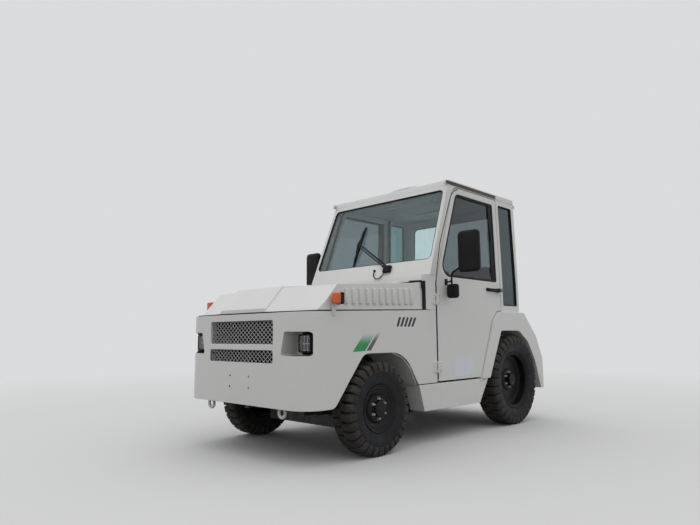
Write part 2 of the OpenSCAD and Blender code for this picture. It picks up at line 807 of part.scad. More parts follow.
// Roof hatch: a curb with a lid that overhangs it
hatch_y = [cab_rear_y - 810, cab_rear_y - 270];
hatch_half_w = half_w - 370;
hatch_curb_z = roof_top_z + 45;
hatch_top_z = roof_top_z + 88;
hatch_lap = 25;
module roof_hatch() {
    w = hatch_half_w - hatch_lap;
    color(paint) place() {
        block([-w, hatch_y[0] + hatch_lap, roof_top_z], [w, hatch_y[1] - hatch_lap, hatch_curb_z + 1]);
        front_prism(rounded([[-hatch_half_w, hatch_curb_z, 0], [hatch_half_w, hatch_curb_z, 0],
            [hatch_half_w, hatch_curb_z + 18, 10], [hatch_half_w - 60, hatch_top_z, 60],
            [60 - hatch_half_w, hatch_top_z, 60], [-hatch_half_w, hatch_curb_z + 18, 10]]),
            hatch_y[0], hatch_y[1]);
    }
}

module cab_rear() {
    color(paint) place() difference() {
        front_prism(cab_front_outline(cab_t, deck_z + 10, roof_low_z), cab_rear_y - cab_t, cab_rear_y);
        front_prism(rounded(rear_window), cab_rear_y - cab_t - 1, cab_rear_y + 1);
        both() block([housing_x, deck_y, deck_z - 60], [half_w + 1, overall_l, fender_top_z]);
    }
}

// Front outline of the left wall between two heights
function wall_outline(low_z, high_z) = [
    [half_w - cab_t, low_z], [half_w, low_z], [half_w, lean_start_z],
    [lean_x(high_z), high_z], [lean_x(high_z) - cab_t, high_z],
    [half_w - cab_t, lean_start_z]];

module side_frame(side) {
    color(paint) place() on_side(side) difference() {
        union() {
            front_prism(wall_outline(fender_top_z, roof_low_z), door_rear_y + door_gap, cab_rear_y);
            intersection() {
                eye_plate(eye_rear, cab_rear_y - 20);
                block([0, deck_y, deck_z], [half_w, overall_l, roof_low_z]);
            }
        }
        side_prism(rounded(quarter_window), half_w - 100, half_w + 1);
        eye_hole(eye_rear);
    }
}

// A door cut from the cab's shell by its outline
module door(side) {
    color(paint) place() on_side(side) {
        difference() {
            intersection() {
                cab_shell(door_bottom_z);
                side_prism(rounded(door_side), half_w - cab_t - cab_lean - 1, half_w + 1);
            }
            side_prism(rounded(door_window), half_w - 100, half_w + 1);
        }
        for (z = door_hinge_z) door_leaf(z);
    }
}

module door_glass(side) {
    color(glass_tint) place() on_side(side) intersection() {
        side_prism(rounded([for (p = door_window)
            [p[0] + sign(1800 - p[0]) * 0.3, p[1] + sign(1500 - p[1]) * 0.3, p[2]]]),
            half_w - 90, half_w + 50);
        difference() {
            cab_body(glass_inset, deck_z);
            cab_body(glass_inset + glass_t, deck_z - 1);
        }
    }
}

// Mirrors on the door: their front, heads [x low, z low, x high, z high], and the arm
mirror_y = door_front_y + 115;
mirror_head = [115, 1222, 295, 1535];
mirror_small = [10, 1035, 110, 1142];
mirror_arm_r = 7;
mirror_arm_x = half_w + 53;
mirror_arm_z = mirror_small[3] + 18;
mirror_bend_z = mirror_head[1] + 30;
handle_y = [door_rear_y - 226, door_rear_y - 11];
handle_z = 1136;

// Mirror head with round corners
module mirror_case(head, r, depth) {
    front_prism(rounded([[half_w + head[0], head[1], r], [half_w + head[2], head[1], r],
        [half_w + head[2], head[3], r], [half_w + head[0], head[3], r]]), mirror_y, mirror_y + depth);
}

module door_fittings(side) {
    arm_y = mirror_y + 15;
    color(dark) place() on_side(side) {
        side_prism(rounded([[handle_y[0], handle_z - 12, 8], [handle_y[1], handle_z - 12, 8],
            [handle_y[1], handle_z + 12, 8], [handle_y[0], handle_z + 12, 8]]), half_w + 8, half_w + 30);
        for (y = [handle_y[0] + 10, handle_y[1] - 35])
            block([half_w, y, handle_z - 8], [half_w + 9, y + 25, handle_z + 8]);
        mirror_case(mirror_head, 36, 40);
        mirror_case(mirror_small, 26, 30);
        block([half_w, arm_y - 14, mirror_arm_z - 20], [half_w + 6, arm_y + 14, mirror_arm_z + 20]);
        translate([0, arm_y, mirror_arm_z]) bar_x(mirror_arm_r, half_w + 5, mirror_arm_x);
        translate([mirror_arm_x, arm_y, mirror_small[3] - 5])
            cylinder(r = mirror_arm_r, h = mirror_bend_z - mirror_small[3] + 5);
        translate([0, arm_y, mirror_bend_z])
            bar_x(mirror_arm_r, mirror_arm_x, half_w + mirror_head[0] + 5);
        translate([mirror_arm_x, arm_y, mirror_bend_z]) sphere(r = mirror_arm_r);
    }
}

// Wiper's foot and tip on the glass plane: [x, distance up the glass]
wiper_foot = [230, -55];
wiper_tip = [-192, 205];
module wiper() {
    color(dark) place() translate([0, screen_foot_y, screen_foot_z]) rotate([90 - screen_rake, 0, 0]) {
        block([190, -95, 0], [270, -20, 30]);
        translate([wiper_foot[0], wiper_foot[1], 12])
            rotate([0, 0, atan2(wiper_tip[1] - wiper_foot[1], wiper_tip[0] - wiper_foot[0])])
                block([0, -9, 0], [norm(wiper_tip - wiper_foot), 9, 10]);
        translate([wiper_tip[0], wiper_tip[1], 0]) rotate([0, 0, -3])
            block([-7, -195, 0.3 - glass_inset], [7, 195, 14]);
        washer_hose();
    }
}

// Washer hose from the wiper's foot round to its nozzle, on the panel under the glass
hose_r = 4;
hose_bend_r = 52;
hose_mid = [138, -72];
module washer_hose() {
    translate([hose_mid[0], hose_mid[1], hose_r]) {
        rotate([0, 0, 170]) rotate_extrude(angle = 200) translate([hose_bend_r, 0]) circle(r = hose_r);
        translate([hose_bend_r * cos(170), hose_bend_r * sin(170), -hose_r]) cylinder(r = 9, h = 16);
    }
}

// Step up to the seats: its distance and height
deck_y = rear_axle_y - 406;
deck_z = 760;
module floor() {
    foot_y = deck_y - 150;
    side_x = half_w - cab_t - 8;
    front_x = half_w - plate_t - 1;
    deck_x = housing_x - 1;
    color([0.2, 0.2, 0.21]) place() {
        block([-front_x, firewall_rear_y, rail_high_z], [front_x, post_rear_y, floor_z]);
        block([-side_x, post_rear_y, rail_high_z], [side_x, foot_y, floor_z]);
        block([-deck_x, foot_y, rail_high_z], [deck_x, deck_y + 12, floor_z]);
        block([-deck_x, deck_y, floor_z], [deck_x, deck_y + 12, deck_z]);
        block([-deck_x, deck_y, deck_z - 12], [deck_x, cab_rear_y - cab_t - 1, deck_z]);
    }
}

// Two seats, each a base, a cushion and a back, with gaps to each other and to the housings
seat_l = 424;
seat_base_h = 40;
seat_cushion_h = 90;
seat_back_h = 510;
seat_back_t = 100;
seat_gap = 20;
seat_side_gap = 15;
seat_rear_gap = 20;
module seats() {
    half = (housing_x - seat_side_gap - seat_gap / 2) / 2;
    back_y = cab_rear_y - cab_t - seat_rear_gap - seat_back_t;
    cushion_z = deck_z + seat_base_h;
    back_z = cushion_z + seat_cushion_h;
    rear_y = back_y + seat_back_t / 2;
    color([0.12, 0.12, 0.13]) place() both() translate([seat_gap / 2 + half, 0, 0]) {
        block([15 - half, rear_y - seat_l + 14, deck_z], [half - 15, rear_y, cushion_z]);
        block([-half, rear_y - seat_l, cushion_z], [half, rear_y, back_z]);
        block([5 - half, back_y, back_z], [half - 5, back_y + seat_back_t, back_z + seat_back_h]);
    }
}

wheel_tilt = 45;
column_x = 240;
column_y = door_front_y + 315;
column_z = cowl_top_z - 20;
module column_frame() {
    translate([column_x, column_y, column_z]) rotate([-wheel_tilt, 0, 0]) children();
}

module dashboard() {
    dash_y = screen_y(cowl_top_z) + cab_t / cos(screen_rake) + 0.3;
    color([0.15, 0.15, 0.16]) place() {
        block([50 - half_w, dash_y, cowl_top_z - 245], [half_w - 50, dash_y + 143, cowl_top_z - 15]);
        column_frame() translate([0, 0, -310]) cylinder(r = 30, h = 310 - 18.3);
    }
}

module steering_wheel() {
    color(dark) place() column_frame() {
        rotate_extrude() translate([180, 0]) circle(r = 14);
        translate([0, 0, -18]) cylinder(r = 40, h = 30);
        for (a = [0, 120, 240]) rotate([0, 0, a]) block([30, -12, -6], [172, 12, 6]);
    }
}

// Box steps under the doors: height of their lower face, and their width
step_low_z = 228;
step_w = 130;
module side_steps() {
    step_z = door_bottom_z - 14;
    color(paint) place() both() side_prism([
        [front_axle_y + 440, step_z], [front_axle_y + 497, step_low_z],
        [rear_axle_y - 558, step_low_z], [rear_axle_y - 424, step_z]], half_w - step_w, half_w);
}

// Rear body

module rear_fenders() {
    color(paint) place() both()
        side_prism(rounded(fender_side), housing_x, half_w + fender_proud);
}

rear_wall_t = 20;
module rear_body() {
    outline = [
        [cab_rear_y + 0.5, fender_top_z], [fender_top_y, fender_top_z], [body_rear_y - 110, 745],
        [body_rear_y, 540], [body_rear_y, rear_low_z], [cab_rear_y + 0.5, rear_low_z]];
    inner = [
        [cab_rear_y - 1, fender_top_z - 20], [fender_top_y - 8, fender_top_z - 20],
        [body_rear_y - 128, 735],
        [body_rear_y - rear_wall_t, 535], [body_rear_y - rear_wall_t, rear_low_z - 1],
        [cab_rear_y - 1, rear_low_z - 1]];
    color(paint) place() difference() {
        side_prism(outline, -housing_x, housing_x);
        side_prism(inner, -housing_x + 12, housing_x - 12);
    }
}

module tail_lamps() {
    color([0.7, 0.05, 0.05]) place() both()
        block([half_w - 150, body_rear_y, 400], [half_w - 30, body_rear_y + 24, 480]);
}

jaw_r = 50;
module tow_jaw() {
    color(dark) place() {
        difference() {
            union() {
                block([-90, body_rear_y, hitch_z - 110], [90, body_rear_y + 20, hitch_z + 110]);
                for (z = [-62, 38]) translate([0, 0, hitch_z + z]) {
                    block([-jaw_r, body_rear_y + 20, 0], [jaw_r, overall_l - jaw_r, 24]);
                    translate([0, overall_l - jaw_r, 0]) cylinder(r = jaw_r, h = 24);
                }
            }
            translate([0, overall_l - jaw_r, hitch_z - 90]) cylinder(r = hitch_pin_r + 1, h = 200);
        }
        translate([0, overall_l - jaw_r, hitch_z - 80]) cylinder(r = hitch_pin_r, h = 160);
    }
}

// Running gear

// Chassis rails: lower and upper edge, and lower edge behind the kick-up
rail_low_z = 330;
rail_high_z = floor_z - 15;
rear_rail_z = rear_r + 66;
kick_y = rear_axle_y - 326;
rail_side = [[plate_t, rail_low_z], [kick_y, rail_low_z], [kick_y + 120, rear_rail_z],
    [body_rear_y - rear_wall_t, rear_rail_z], [body_rear_y - rear_wall_t, rear_rail_z + 90],
    [kick_y + 60, rear_rail_z + 90], [kick_y - 60, rail_high_z], [plate_t, rail_high_z]];
// Distances of the cross members and of the arms that carry the steps
cross_y = [plate_t, front_axle_y - 399, engine_y[1] + 100, kick_y - 180];
rear_cross_y = [kick_y + 70, body_rear_y - 60];
step_arm_y = [front_axle_y + 661, front_axle_y + 1061];
// Front leaf springs: leaf thickness and full length
leaf_t = 10;
spring_l = 680;
beam_top = -60;
spring_top_z = front_r + beam_top + 3 * leaf_t;

module springs() {
    color(dark) place() both() for (i = [0:2])
        block([rail_x - 55, front_axle_y - spring_l / 2 + (2 - i) * 110, front_r + beam_top + i * leaf_t],
            [rail_x - 5, front_axle_y + spring_l / 2 - (2 - i) * 110,
                front_r + beam_top + (i + 1) * leaf_t]);
}

shaft_z = 360;
axle_nose_l = 150;
module drive_shaft() {
    y0 = engine_y[1];
    color(dark) place() translate([0, 0, shaft_z]) {
        bar_y(28, y0 + 59, rear_axle_y - axle_nose_l);
        bar_y(60, y0, y0 + 60);
    }
}

module chassis() {
    color(dark) place() {
        both() {
            side_prism(rail_side, rail_x - 8, rail_x + 8);
            for (y = [-spring_l / 2, spring_l / 2 - 40])
                block([rail_x - 45, front_axle_y + y, spring_top_z],
                    [rail_x - 8, front_axle_y + y + 40, rail_low_z + 40]);
            block([rail_x - 40, rear_axle_y - 45, rear_r + 55],
                [rail_x + 40, rear_axle_y + 45, rear_rail_z + 10]);
            for (y = step_arm_y)
                block([rail_x + 8, y, rail_low_z + 20], [half_w - step_w, y + 40, rail_high_z - 30]);
        }
        for (y = cross_y)
            block([8 - rail_x, y, rail_high_z - 35], [rail_x - 8, y + 20, rail_high_z]);
        for (y = rear_cross_y)
            block([8 - rail_x, y, rear_rail_z + 20], [rail_x - 8, y + 20, rear_rail_z + 80]);
    }
}

module front_axle() {
    color(dark) place() translate([0, front_axle_y, front_r]) {
        block([70 - kingpin_x, -45, -150], [kingpin_x - 70, 45, beam_top]);
        both() {
            difference() {
                union() {
                    block([kingpin_x - 110, -24, -150], [kingpin_x - 20, 24, eye_h / 2]);
                    translate([kingpin_x, 0, -eye_h / 2]) cylinder(r = 42, h = eye_h);
                }
                translate([kingpin_x, 0, -200]) cylinder(r = kingpin_r + run_gap, h = 400);
                translate([kingpin_x, 0, -200]) cylinder(r = 48, h = 200 - eye_h / 2);
            }
        }
    }
}

// Thickness of a knuckle's lugs, and radius of the tie rod's pins and eyes
lug_t = 26;
tie_pin_r = 10;
tie_eye_r = 24;
module knuckle(side) {
    color(dark) place() translate([0, front_axle_y, front_r]) on_side(side) {
        translate([kingpin_x, 0, -eye_h / 2 - lug_t - 1])
            cylinder(r = kingpin_r, h = eye_h + 2 * lug_t + 2);
        for (z = [-eye_h / 2 - lug_t - 1, eye_h / 2 + 1]) translate([kingpin_x, 0, z]) {
            cylinder(r = 40, h = lug_t);
            block([0, -40, 0], [70, 40, lug_t]);
        }
        block([kingpin_x + 52, -40, -eye_h / 2 - lug_t - 1], [kingpin_x + 70, 40, eye_h / 2 + lug_t + 1]);
        bar_x(spindle_r, kingpin_x + 60, front_track_x + 60);
        block([kingpin_x - kingpin_r, 0, -eye_h / 2 - lug_t - 1],
            [kingpin_x + kingpin_r, track_arm_l, -eye_h / 2 - 1]);
        translate([kingpin_x, track_arm_l, -eye_h / 2 - lug_t - 1]) cylinder(r = 22, h = lug_t);
        translate([kingpin_x, track_arm_l, -eye_h / 2 - lug_t - 31]) cylinder(r = tie_pin_r, h = 31);
    }
}

module tie_rod() {
    rod_z = front_r - eye_h / 2 - lug_t - 19;
    color(dark) place() translate([0, front_axle_y + track_arm_l, rod_z]) {
        difference() {
            union() {
                bar_x(14, -kingpin_x + 15, kingpin_x - 15);
                for (side = [-1, 1]) translate([side * kingpin_x, 0, -11]) cylinder(r = tie_eye_r, h = 22);
            }
            for (side = [-1, 1]) translate([side * kingpin_x, 0, -20])
                cylinder(r = tie_pin_r + run_gap, h = 40);
        }
    }
}

// Rear axle: radius of its tubes and of its middle, and the tubes' ends
tube_r = 55;
drop_r = 115;
module rear_axle() {
    tube_x = rear_track_x - 150;
    color(dark) place() translate([0, rear_axle_y, rear_r]) {
        bar_x(tube_r, -tube_x, tube_x);
        rotate_extrude() intersection() {
            circle(r = drop_r);
            translate([0, -drop_r]) square([drop_r, 2 * drop_r]);
        }
        translate([0, 0, shaft_z - rear_r]) bar_y(45, -axle_nose_l, -60);
        both() bar_x(spindle_r, tube_x - 10, rear_track_x + 30);
    }
}

// Ring of a tyre's corners about the X axis, four to a lug: start and end of its top, then of the gap
function tyre_ring(row, lugs, gap_a) =
    let (pitch = 360 / lugs, floor_a = gap_a * 0.7)
    let (turns = [gap_a, pitch - gap_a, pitch - floor_a, pitch + floor_a])
    [for (i = [0:lugs - 1], k = [0:3])
        let (a = row[3] + i * pitch + turns[k], r = k < 2 ? row[1] : row[2])
        [row[0], r * cos(a), r * sin(a)]];

// Tyre with lugs on both shoulders, half a pitch apart, and a gap of its outer shoulder lowest
module tyre_form(r, seat_r, w, tread_w, lugs) {
    gap_a = asin(lug_gap / 2 / r);
    pitch = 360 / lugs;
    top = r / cos(gap_a);
    side_r = (r + seat_r) / 2 + 10;
    bead_r = (seat_r + 0.1) / cos(pitch / 2 - gap_a);
    low = -90;
    // Rings: place along the axle, radius at a lug and in a gap, and turn
    rows = [
        [-w * 0.33, bead_r, bead_r, low + pitch / 4],
        [-w / 2, side_r, side_r, low + pitch / 2],
        [-tread_w / 2, top, top - lug_h, low + pitch / 2],
        [tread_w / 2, top, top - lug_h, low],
        [w / 2, side_r, side_r, low],
        [w * 0.33, bead_r, bead_r, low + pitch / 4]];
    n = 4 * lugs;
    m = len(rows);
    polyhedron(
        points = [for (row = rows) each tyre_ring(row, lugs, gap_a)],
        faces = [for (j = [0:m - 1], i = [0:n - 1])
            let (a = j * n + i, b = j * n + (i + 1) % n)
            let (c = (j + 1) % m * n + (i + 1) % n, d = (j + 1) % m * n + i)
            each [[a, b, c], [a, c, d]]]);
}

// Rim and disc about the X axis, outer side towards +X
module rim_form(flange_r, seat_r, w, disc_x, hub_x) {
    rotate([0, 90, 0]) difference() {
        union() {
            rotate_extrude($fn = 96) polygon([
                [flange_r, -w * 0.425], [flange_r, -w * 0.385], [seat_r - 0.2, -w * 0.375],
                [seat_r - 0.2, w * 0.375], [flange_r, w * 0.385], [flange_r, w * 0.425],
                [seat_r - 10, w * 0.425], [seat_r - 10, -w * 0.425]]);
            translate([0, 0, disc_x - 6]) cylinder(r = seat_r - 9, h = 12);
            translate([0, 0, disc_x - 30]) cylinder(r = 48, h = hub_x - disc_x + 30);
            for (i = [0:5]) rotate([0, 0, 60 * i]) translate([nut_circle_d / 2 + 14, 0, disc_x])
                cylinder(r = 11, h = 22);
        }
        translate([0, 0, disc_x - 80]) cylinder(r = spindle_r + run_gap, h = hub_x - disc_x + 74);
    }
}

// Rim seats inside the flanges, and the middle of each wheel's disc and hub
front_seat_r = front_rim_d / 2 - 22;
rear_seat_r = rear_rim_d / 2 - 13;
front_disc = [40, 80];
rear_disc = [0, 55];
front_tread_w = front_tyre_w - 25;
rear_tread_w = rear_tyre_w - 31;

module tyre_front(side) {
    color(dark) place() translate([side * front_track_x, front_axle_y, front_r]) on_side(side)
        tyre_form(front_r, front_seat_r, front_tyre_w, front_tread_w, front_lugs);
}

module tyre_rear(side) {
    color(dark) place() translate([side * rear_track_x, rear_axle_y, rear_r]) on_side(side)
        tyre_form(rear_r, rear_seat_r, rear_tyre_w, rear_tread_w, rear_lugs);
}

module rim_front(side) {
    color([0.1, 0.1, 0.1]) place() translate([side * front_track_x, front_axle_y, front_r])
        on_side(side) rim_form(front_rim_d / 2, front_seat_r, front_tyre_w, front_disc[0], front_disc[1]);
}

module rim_rear(side) {
    color([0.1, 0.1, 0.1]) place() translate([side * rear_track_x, rear_axle_y, rear_r])
        on_side(side) rim_form(rear_rim_d / 2, rear_seat_r, rear_tyre_w, rear_disc[0], rear_disc[1]);
}

chassis();
front_plate();
grilles();
engine();
headlamps();
marker_lamps();
tow_rings();
hood();
hood_seal();
cab_front();
cab_glass();
wiper();
roof();
roof_hatch();
cab_rear();
side_frame(1);  // side_frame_left
side_frame(-1);  // side_frame_right
door(1);  // door_left
door(-1);  // door_right
door_glass(1);  // door_glass_left
door_glass(-1);  // door_glass_right
door_fittings(1);  // door_fittings_left
door_fittings(-1);  // door_fittings_right
floor();
seats();
dashboard();
steering_wheel();
side_steps();
rear_fenders();
rear_body();
tail_lamps();
tow_jaw();
front_axle();
springs();
drive_shaft();
knuckle(1);  // knuckle_left
knuckle(-1);  // knuckle_right
tie_rod();
tyre_front(1);  // tyre_front_left
tyre_front(-1);  // tyre_front_right
tyre_rear(1);  // tyre_rear_left
tyre_rear(-1);  // tyre_rear_right
rim_front(1);  // rim_front_left
rim_front(-1);  // rim_front_right
rim_rear(1);  // rim_rear_left
rim_rear(-1);  // rim_rear_right
rear_axle();
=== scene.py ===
"""Looks of a cabbed tow tractor for airport carts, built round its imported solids.
Places are in millimetres: X to the vehicle's left, Y behind the front plate's face, Z above the ground."""
import math

import bpy
from mathutils import Matrix, Vector


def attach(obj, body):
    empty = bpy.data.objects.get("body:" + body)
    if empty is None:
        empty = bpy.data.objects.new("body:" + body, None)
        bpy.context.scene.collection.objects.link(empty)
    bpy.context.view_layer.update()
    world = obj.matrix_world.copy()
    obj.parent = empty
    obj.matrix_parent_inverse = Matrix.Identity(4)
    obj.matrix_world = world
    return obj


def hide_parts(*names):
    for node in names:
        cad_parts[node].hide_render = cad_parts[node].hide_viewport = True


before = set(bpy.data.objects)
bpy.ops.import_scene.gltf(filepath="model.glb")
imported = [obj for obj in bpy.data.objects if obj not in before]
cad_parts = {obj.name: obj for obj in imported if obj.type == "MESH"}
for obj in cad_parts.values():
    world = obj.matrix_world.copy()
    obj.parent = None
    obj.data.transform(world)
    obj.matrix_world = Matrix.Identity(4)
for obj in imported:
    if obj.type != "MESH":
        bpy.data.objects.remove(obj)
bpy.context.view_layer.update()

MM = 0.001
FRONT_FACE = 1525.0
HALF_W = 650.0
FRONT_AXLE = (619.0, 295.0)
REAR_AXLE = (2406.0, 373.5)
SIDES = (("left", 1), ("right", -1))


def at(x, y, z):
    """A place in the row frame, in metres."""
    return Vector((x * MM, (y - FRONT_FACE) * MM, z * MM))


def run(x, y, z):
    """A step in the row frame, in metres."""
    return Vector((x * MM, y * MM, z * MM))


# Workbench: one piece at a time is taken up, shaped in edit mode and put down

def clear():
    if bpy.context.mode != "OBJECT":
        bpy.ops.object.mode_set(mode="OBJECT")
    bpy.ops.object.select_all(action="DESELECT")


def take(*objs):
    clear()
    for obj in objs:
        obj.select_set(True)
    bpy.context.view_layer.objects.active = objs[0]
    return objs[0]


def open_mesh(obj, mode="VERT"):
    take(obj)
    bpy.ops.object.mode_set(mode="EDIT")
    bpy.ops.mesh.select_mode(type=mode)
    bpy.ops.mesh.select_all(action="DESELECT")


def every(obj, mode="VERT"):
    """Opens a piece with its whole mesh selected."""
    open_mesh(obj, mode)
    bpy.ops.mesh.select_all(action="SELECT")


def push_out(step):
    """Extrudes what is selected by a step in metres."""
    bpy.ops.mesh.extrude_region_move(TRANSFORM_OT_translate={"value": step})


def sized(value, *place):
    """Scales what is selected about a place in millimetres."""
    bpy.ops.transform.resize(value=value, center_override=at(*place))


def settle(obj):
    """Leaves a piece at the origin, unturned and unscaled."""
    take(obj)
    bpy.ops.object.transform_apply(location=True, rotation=True, scale=True)
    return obj


def pick(obj, mode, test):
    """Selects the faces, edges or corners that pass a test, and leaves the piece in edit mode."""
    open_mesh(obj, mode)
    bpy.ops.object.mode_set(mode="OBJECT")
    mesh = obj.data
    if mode == "FACE":
        for face in mesh.polygons:
            face.select = test(face.center, face.normal)
    elif mode == "EDGE":
        for edge in mesh.edges:
            a, b = (mesh.vertices[i].co for i in edge.vertices)
            edge.select = test((a + b) / 2, (b - a).normalized())
    else:
        for corner in mesh.vertices:
            corner.select = test(corner.co)
    bpy.ops.object.mode_set(mode="EDIT")


def close_seams(obj, gap=0.00002, turn=True):
    every(obj)
    bpy.ops.mesh.remove_doubles(threshold=gap)
    if turn:
        bpy.ops.mesh.normals_make_consistent(inside=False)
    clear()


def named(name):
    obj = bpy.context.view_layer.objects.active
    obj.name = name
    obj.data.name = name
    return obj


def block(name, low, high):
    """A cube primitive between two corners, in millimetres."""
    clear()
    a, b = at(*low), at(*high)
    bpy.ops.mesh.primitive_cube_add(size=1, location=(a + b) / 2, scale=b - a)
    obj = settle(named(name))
    return obj


def bevel_sharp(obj, width, segments=2, angle=30):
    """Rounds every edge sharper than an angle."""
    open_mesh(obj, "EDGE")
    bpy.ops.mesh.edges_select_sharp(sharpness=math.radians(angle))
    bpy.ops.mesh.bevel(offset=width * MM, segments=segments, affect="EDGES", clamp_overlap=True)
    clear()
    return obj


def round_edges(obj, width, segments=2, angle=30, shortest=2.5, test=None):
    """Rounds a solid's sharp edges, apart from the short sides of its holes and those that fail a test."""
    open_mesh(obj, "EDGE")
    bpy.ops.mesh.edges_select_sharp(sharpness=math.radians(angle))
    clear()
    mesh = obj.data
    wanted = set()
    for edge in mesh.edges:
        if edge.select:
            a, b = (mesh.vertices[i].co for i in edge.vertices)
            if (b - a).length >= shortest * MM and (test is None or test((a + b) / 2)):
                wanted.add(tuple(sorted(edge.vertices)))
    open_mesh(obj, "EDGE")
    bpy.ops.object.mode_set(mode="OBJECT")
    for edge in mesh.edges:
        edge.select = tuple(sorted(edge.vertices)) in wanted
    bpy.ops.object.mode_set(mode="EDIT")
    if wanted:
        bpy.ops.mesh.bevel(offset=width * MM, segments=segments, affect="EDGES", clamp_overlap=False)
    clear()
    return obj


def bevel_along(obj, axis, width, segments=4, test=None):
    """Rounds the edges that run along an axis."""
    pick(obj, "EDGE", lambda mid, way: abs(way[axis]) > 0.99 and (test is None or test(mid)))
    bpy.ops.mesh.bevel(offset=width * MM, segments=segments, affect="EDGES", clamp_overlap=True)
    clear()
    return obj


def turned(name, profile, centre, axis=(1, 0, 0), out=(0, 0, 1), steps=64, closed=True):
    """A piece spun about an axis through a place, from (along, radius) steps in millimetres."""
    clear()
    axis, out, hub = Vector(axis), Vector(out), at(*centre)
    points = [hub + axis * a * MM + out * r * MM for a, r in profile]
    if closed:
        points.append(points[0])
    bpy.ops.mesh.primitive_plane_add(size=0.001, location=points[0])
    obj = settle(named(name))
    every(obj)
    bpy.ops.mesh.merge(type="CENTER")
    for a, b in zip(points, points[1:]):
        push_out(b - a)
    bpy.ops.mesh.select_all(action="SELECT")
    bpy.ops.mesh.spin(steps=steps, angle=math.tau, center=hub, axis=axis)
    close_seams(obj)
    return obj


def circle(middle, radius, steps=14):
    """(along, radius) steps round a bar's section, for a hoop."""
    return [(radius * math.sin(a * math.tau / steps), middle + radius * math.cos(a * math.tau / steps))
            for a in range(steps)]


def drawn(name, points, push):
    """A flat outline of places in millimetres, filled and pushed out by a step in metres."""
    clear()
    places = [at(*p) for p in points]
    bpy.ops.mesh.primitive_plane_add(size=0.001, location=places[0])
    obj = settle(named(name))
    every(obj)
    bpy.ops.mesh.merge(type="CENTER")
    for a, b in zip(places, places[1:]):
        push_out(b - a)
    bpy.ops.mesh.select_all(action="SELECT")
    bpy.ops.mesh.edge_face_add()
    if Vector(push).length > 0:
        push_out(push)
    bpy.ops.mesh.select_all(action="SELECT")
    bpy.ops.mesh.normals_make_consistent(inside=False)
    clear()
    return obj


def round_corners(outline, steps=5):
    """Points of an outline whose corners (a, b, radius) are rounded by arcs."""
    made = []
    count = len(outline)
    for i, (a, b, r) in enumerate(outline):
        q = Vector((a, b))
        if r <= 0:
            made.append((a, b))
            continue
        u = (Vector(outline[i - 1][:2]) - q).normalized()
        v = (Vector(outline[(i + 1) % count][:2]) - q).normalized()
        half = u.angle(v) / 2
        middle = q + (u + v).normalized() * (r / math.sin(half))
        start = q + u * (r / math.tan(half)) - middle
        end = q + v * (r / math.tan(half)) - middle
        for k in range(steps + 1):
            t = k / steps
            p = middle + (start * (1 - t) + end * t).normalized() * r
            made.append((p.x, p.y))
    return made


def rod(name, points, radius, sides=10, closed=False):
    """A round bar or hose along places in millimetres, made solid."""
    clear()
    line = bpy.data.curves.new(name, "CURVE")
    line.dimensions = "3D"
    spline = line.splines.new("POLY")
    spline.points.add(len(points) - 1)
    for point, place in zip(spline.points, points):
        point.co = (*at(*place), 1)
    spline.use_cyclic_u = closed
    line.bevel_depth = radius * MM
    line.bevel_resolution = max(0, sides // 2 - 2)
    line.use_fill_caps = True
    obj = bpy.data.objects.new(name, line)
    bpy.context.collection.objects.link(obj)
    take(obj)
    bpy.ops.object.convert(target="MESH")
    obj = named(name)
    close_seams(obj)
    return obj


def bend_line(points, radius, steps=5):
    """Places along a bar whose corners are bent to a radius, in millimetres."""
    made = [Vector(points[0])]
    for a, q, b in zip(points, points[1:], points[2:]):
        a, q, b = Vector(a), Vector(q), Vector(b)
        u, v = (a - q).normalized(), (b - q).normalized()
        half = u.angle(v) / 2
        reach = min(radius / math.tan(half), (a - q).length * 0.49, (b - q).length * 0.49)
        r = reach * math.tan(half)
        middle = q + (u + v).normalized() * (r / math.sin(half))
        start, end = q + u * reach - middle, q + v * reach - middle
        for k in range(steps + 1):
            t = k / steps
            made.append(middle + (start * (1 - t) + end * t).normalized() * r)
    made.append(Vector(points[-1]))
    return [tuple(p) for p in made]


def joined(name, pieces):
    take(*pieces)
    if len(pieces) > 1:
        bpy.ops.object.join()
    return named(name)


def copied(obj, name):
    """A copy with its own mesh."""
    take(obj)
    bpy.ops.object.duplicate(linked=False)
    return named(name)


def turned_about(obj, degrees, axis, place):
    """Turns a piece about an axis through a place in millimetres."""
    middle = at(*place)
    spin = Matrix.Translation(middle) @ Matrix.Rotation(math.radians(degrees), 4, axis)
    obj.matrix_world = spin @ Matrix.Translation(-middle) @ obj.matrix_world
    settle(obj)
    return obj


def mirrored(obj, name):
    """The same piece for the other side of the vehicle."""
    other = copied(obj, name)
    every(other)
    bpy.ops.transform.mirror(constraint_axis=(True, False, False), orient_type="GLOBAL",
                             center_override=(0, 0, 0))
    bpy.ops.mesh.flip_normals()
    clear()
    return other


def applied(obj, kind, **settings):
    take(obj)
    modifier = obj.modifiers.new(kind.title(), kind)
    for key, value in settings.items():
        setattr(modifier, key, value)
    bpy.ops.object.modifier_apply(modifier=modifier.name)
    return obj


def smooth(obj, angle=35):
    take(obj)
    bpy.ops.object.shade_smooth_by_angle(angle=math.radians(angle))
    clear()
    return obj


def weigh_normals(obj):
    """Flat faces keep their own shading beside rounded edges."""
    smooth(obj, 50)
    return applied(obj, "WEIGHTED_NORMAL", weight=100, keep_sharp=True)


def skin_of(node, name):
    """A copy of a solid's surface with its seams merged and its flat faces whole."""
    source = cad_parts[node]
    obj = bpy.data.objects.new(name, source.data.copy())
    bpy.context.collection.objects.link(obj)
    take(obj)
    if obj.data.has_custom_normals:
        bpy.ops.mesh.customdata_custom_splitnormals_clear()
    every(obj)
    bpy.ops.mesh.remove_doubles(threshold=0.00002)
    bpy.ops.mesh.dissolve_limited(angle_limit=math.radians(0.6))
    clear()
    obj.data.materials.clear()
    return obj


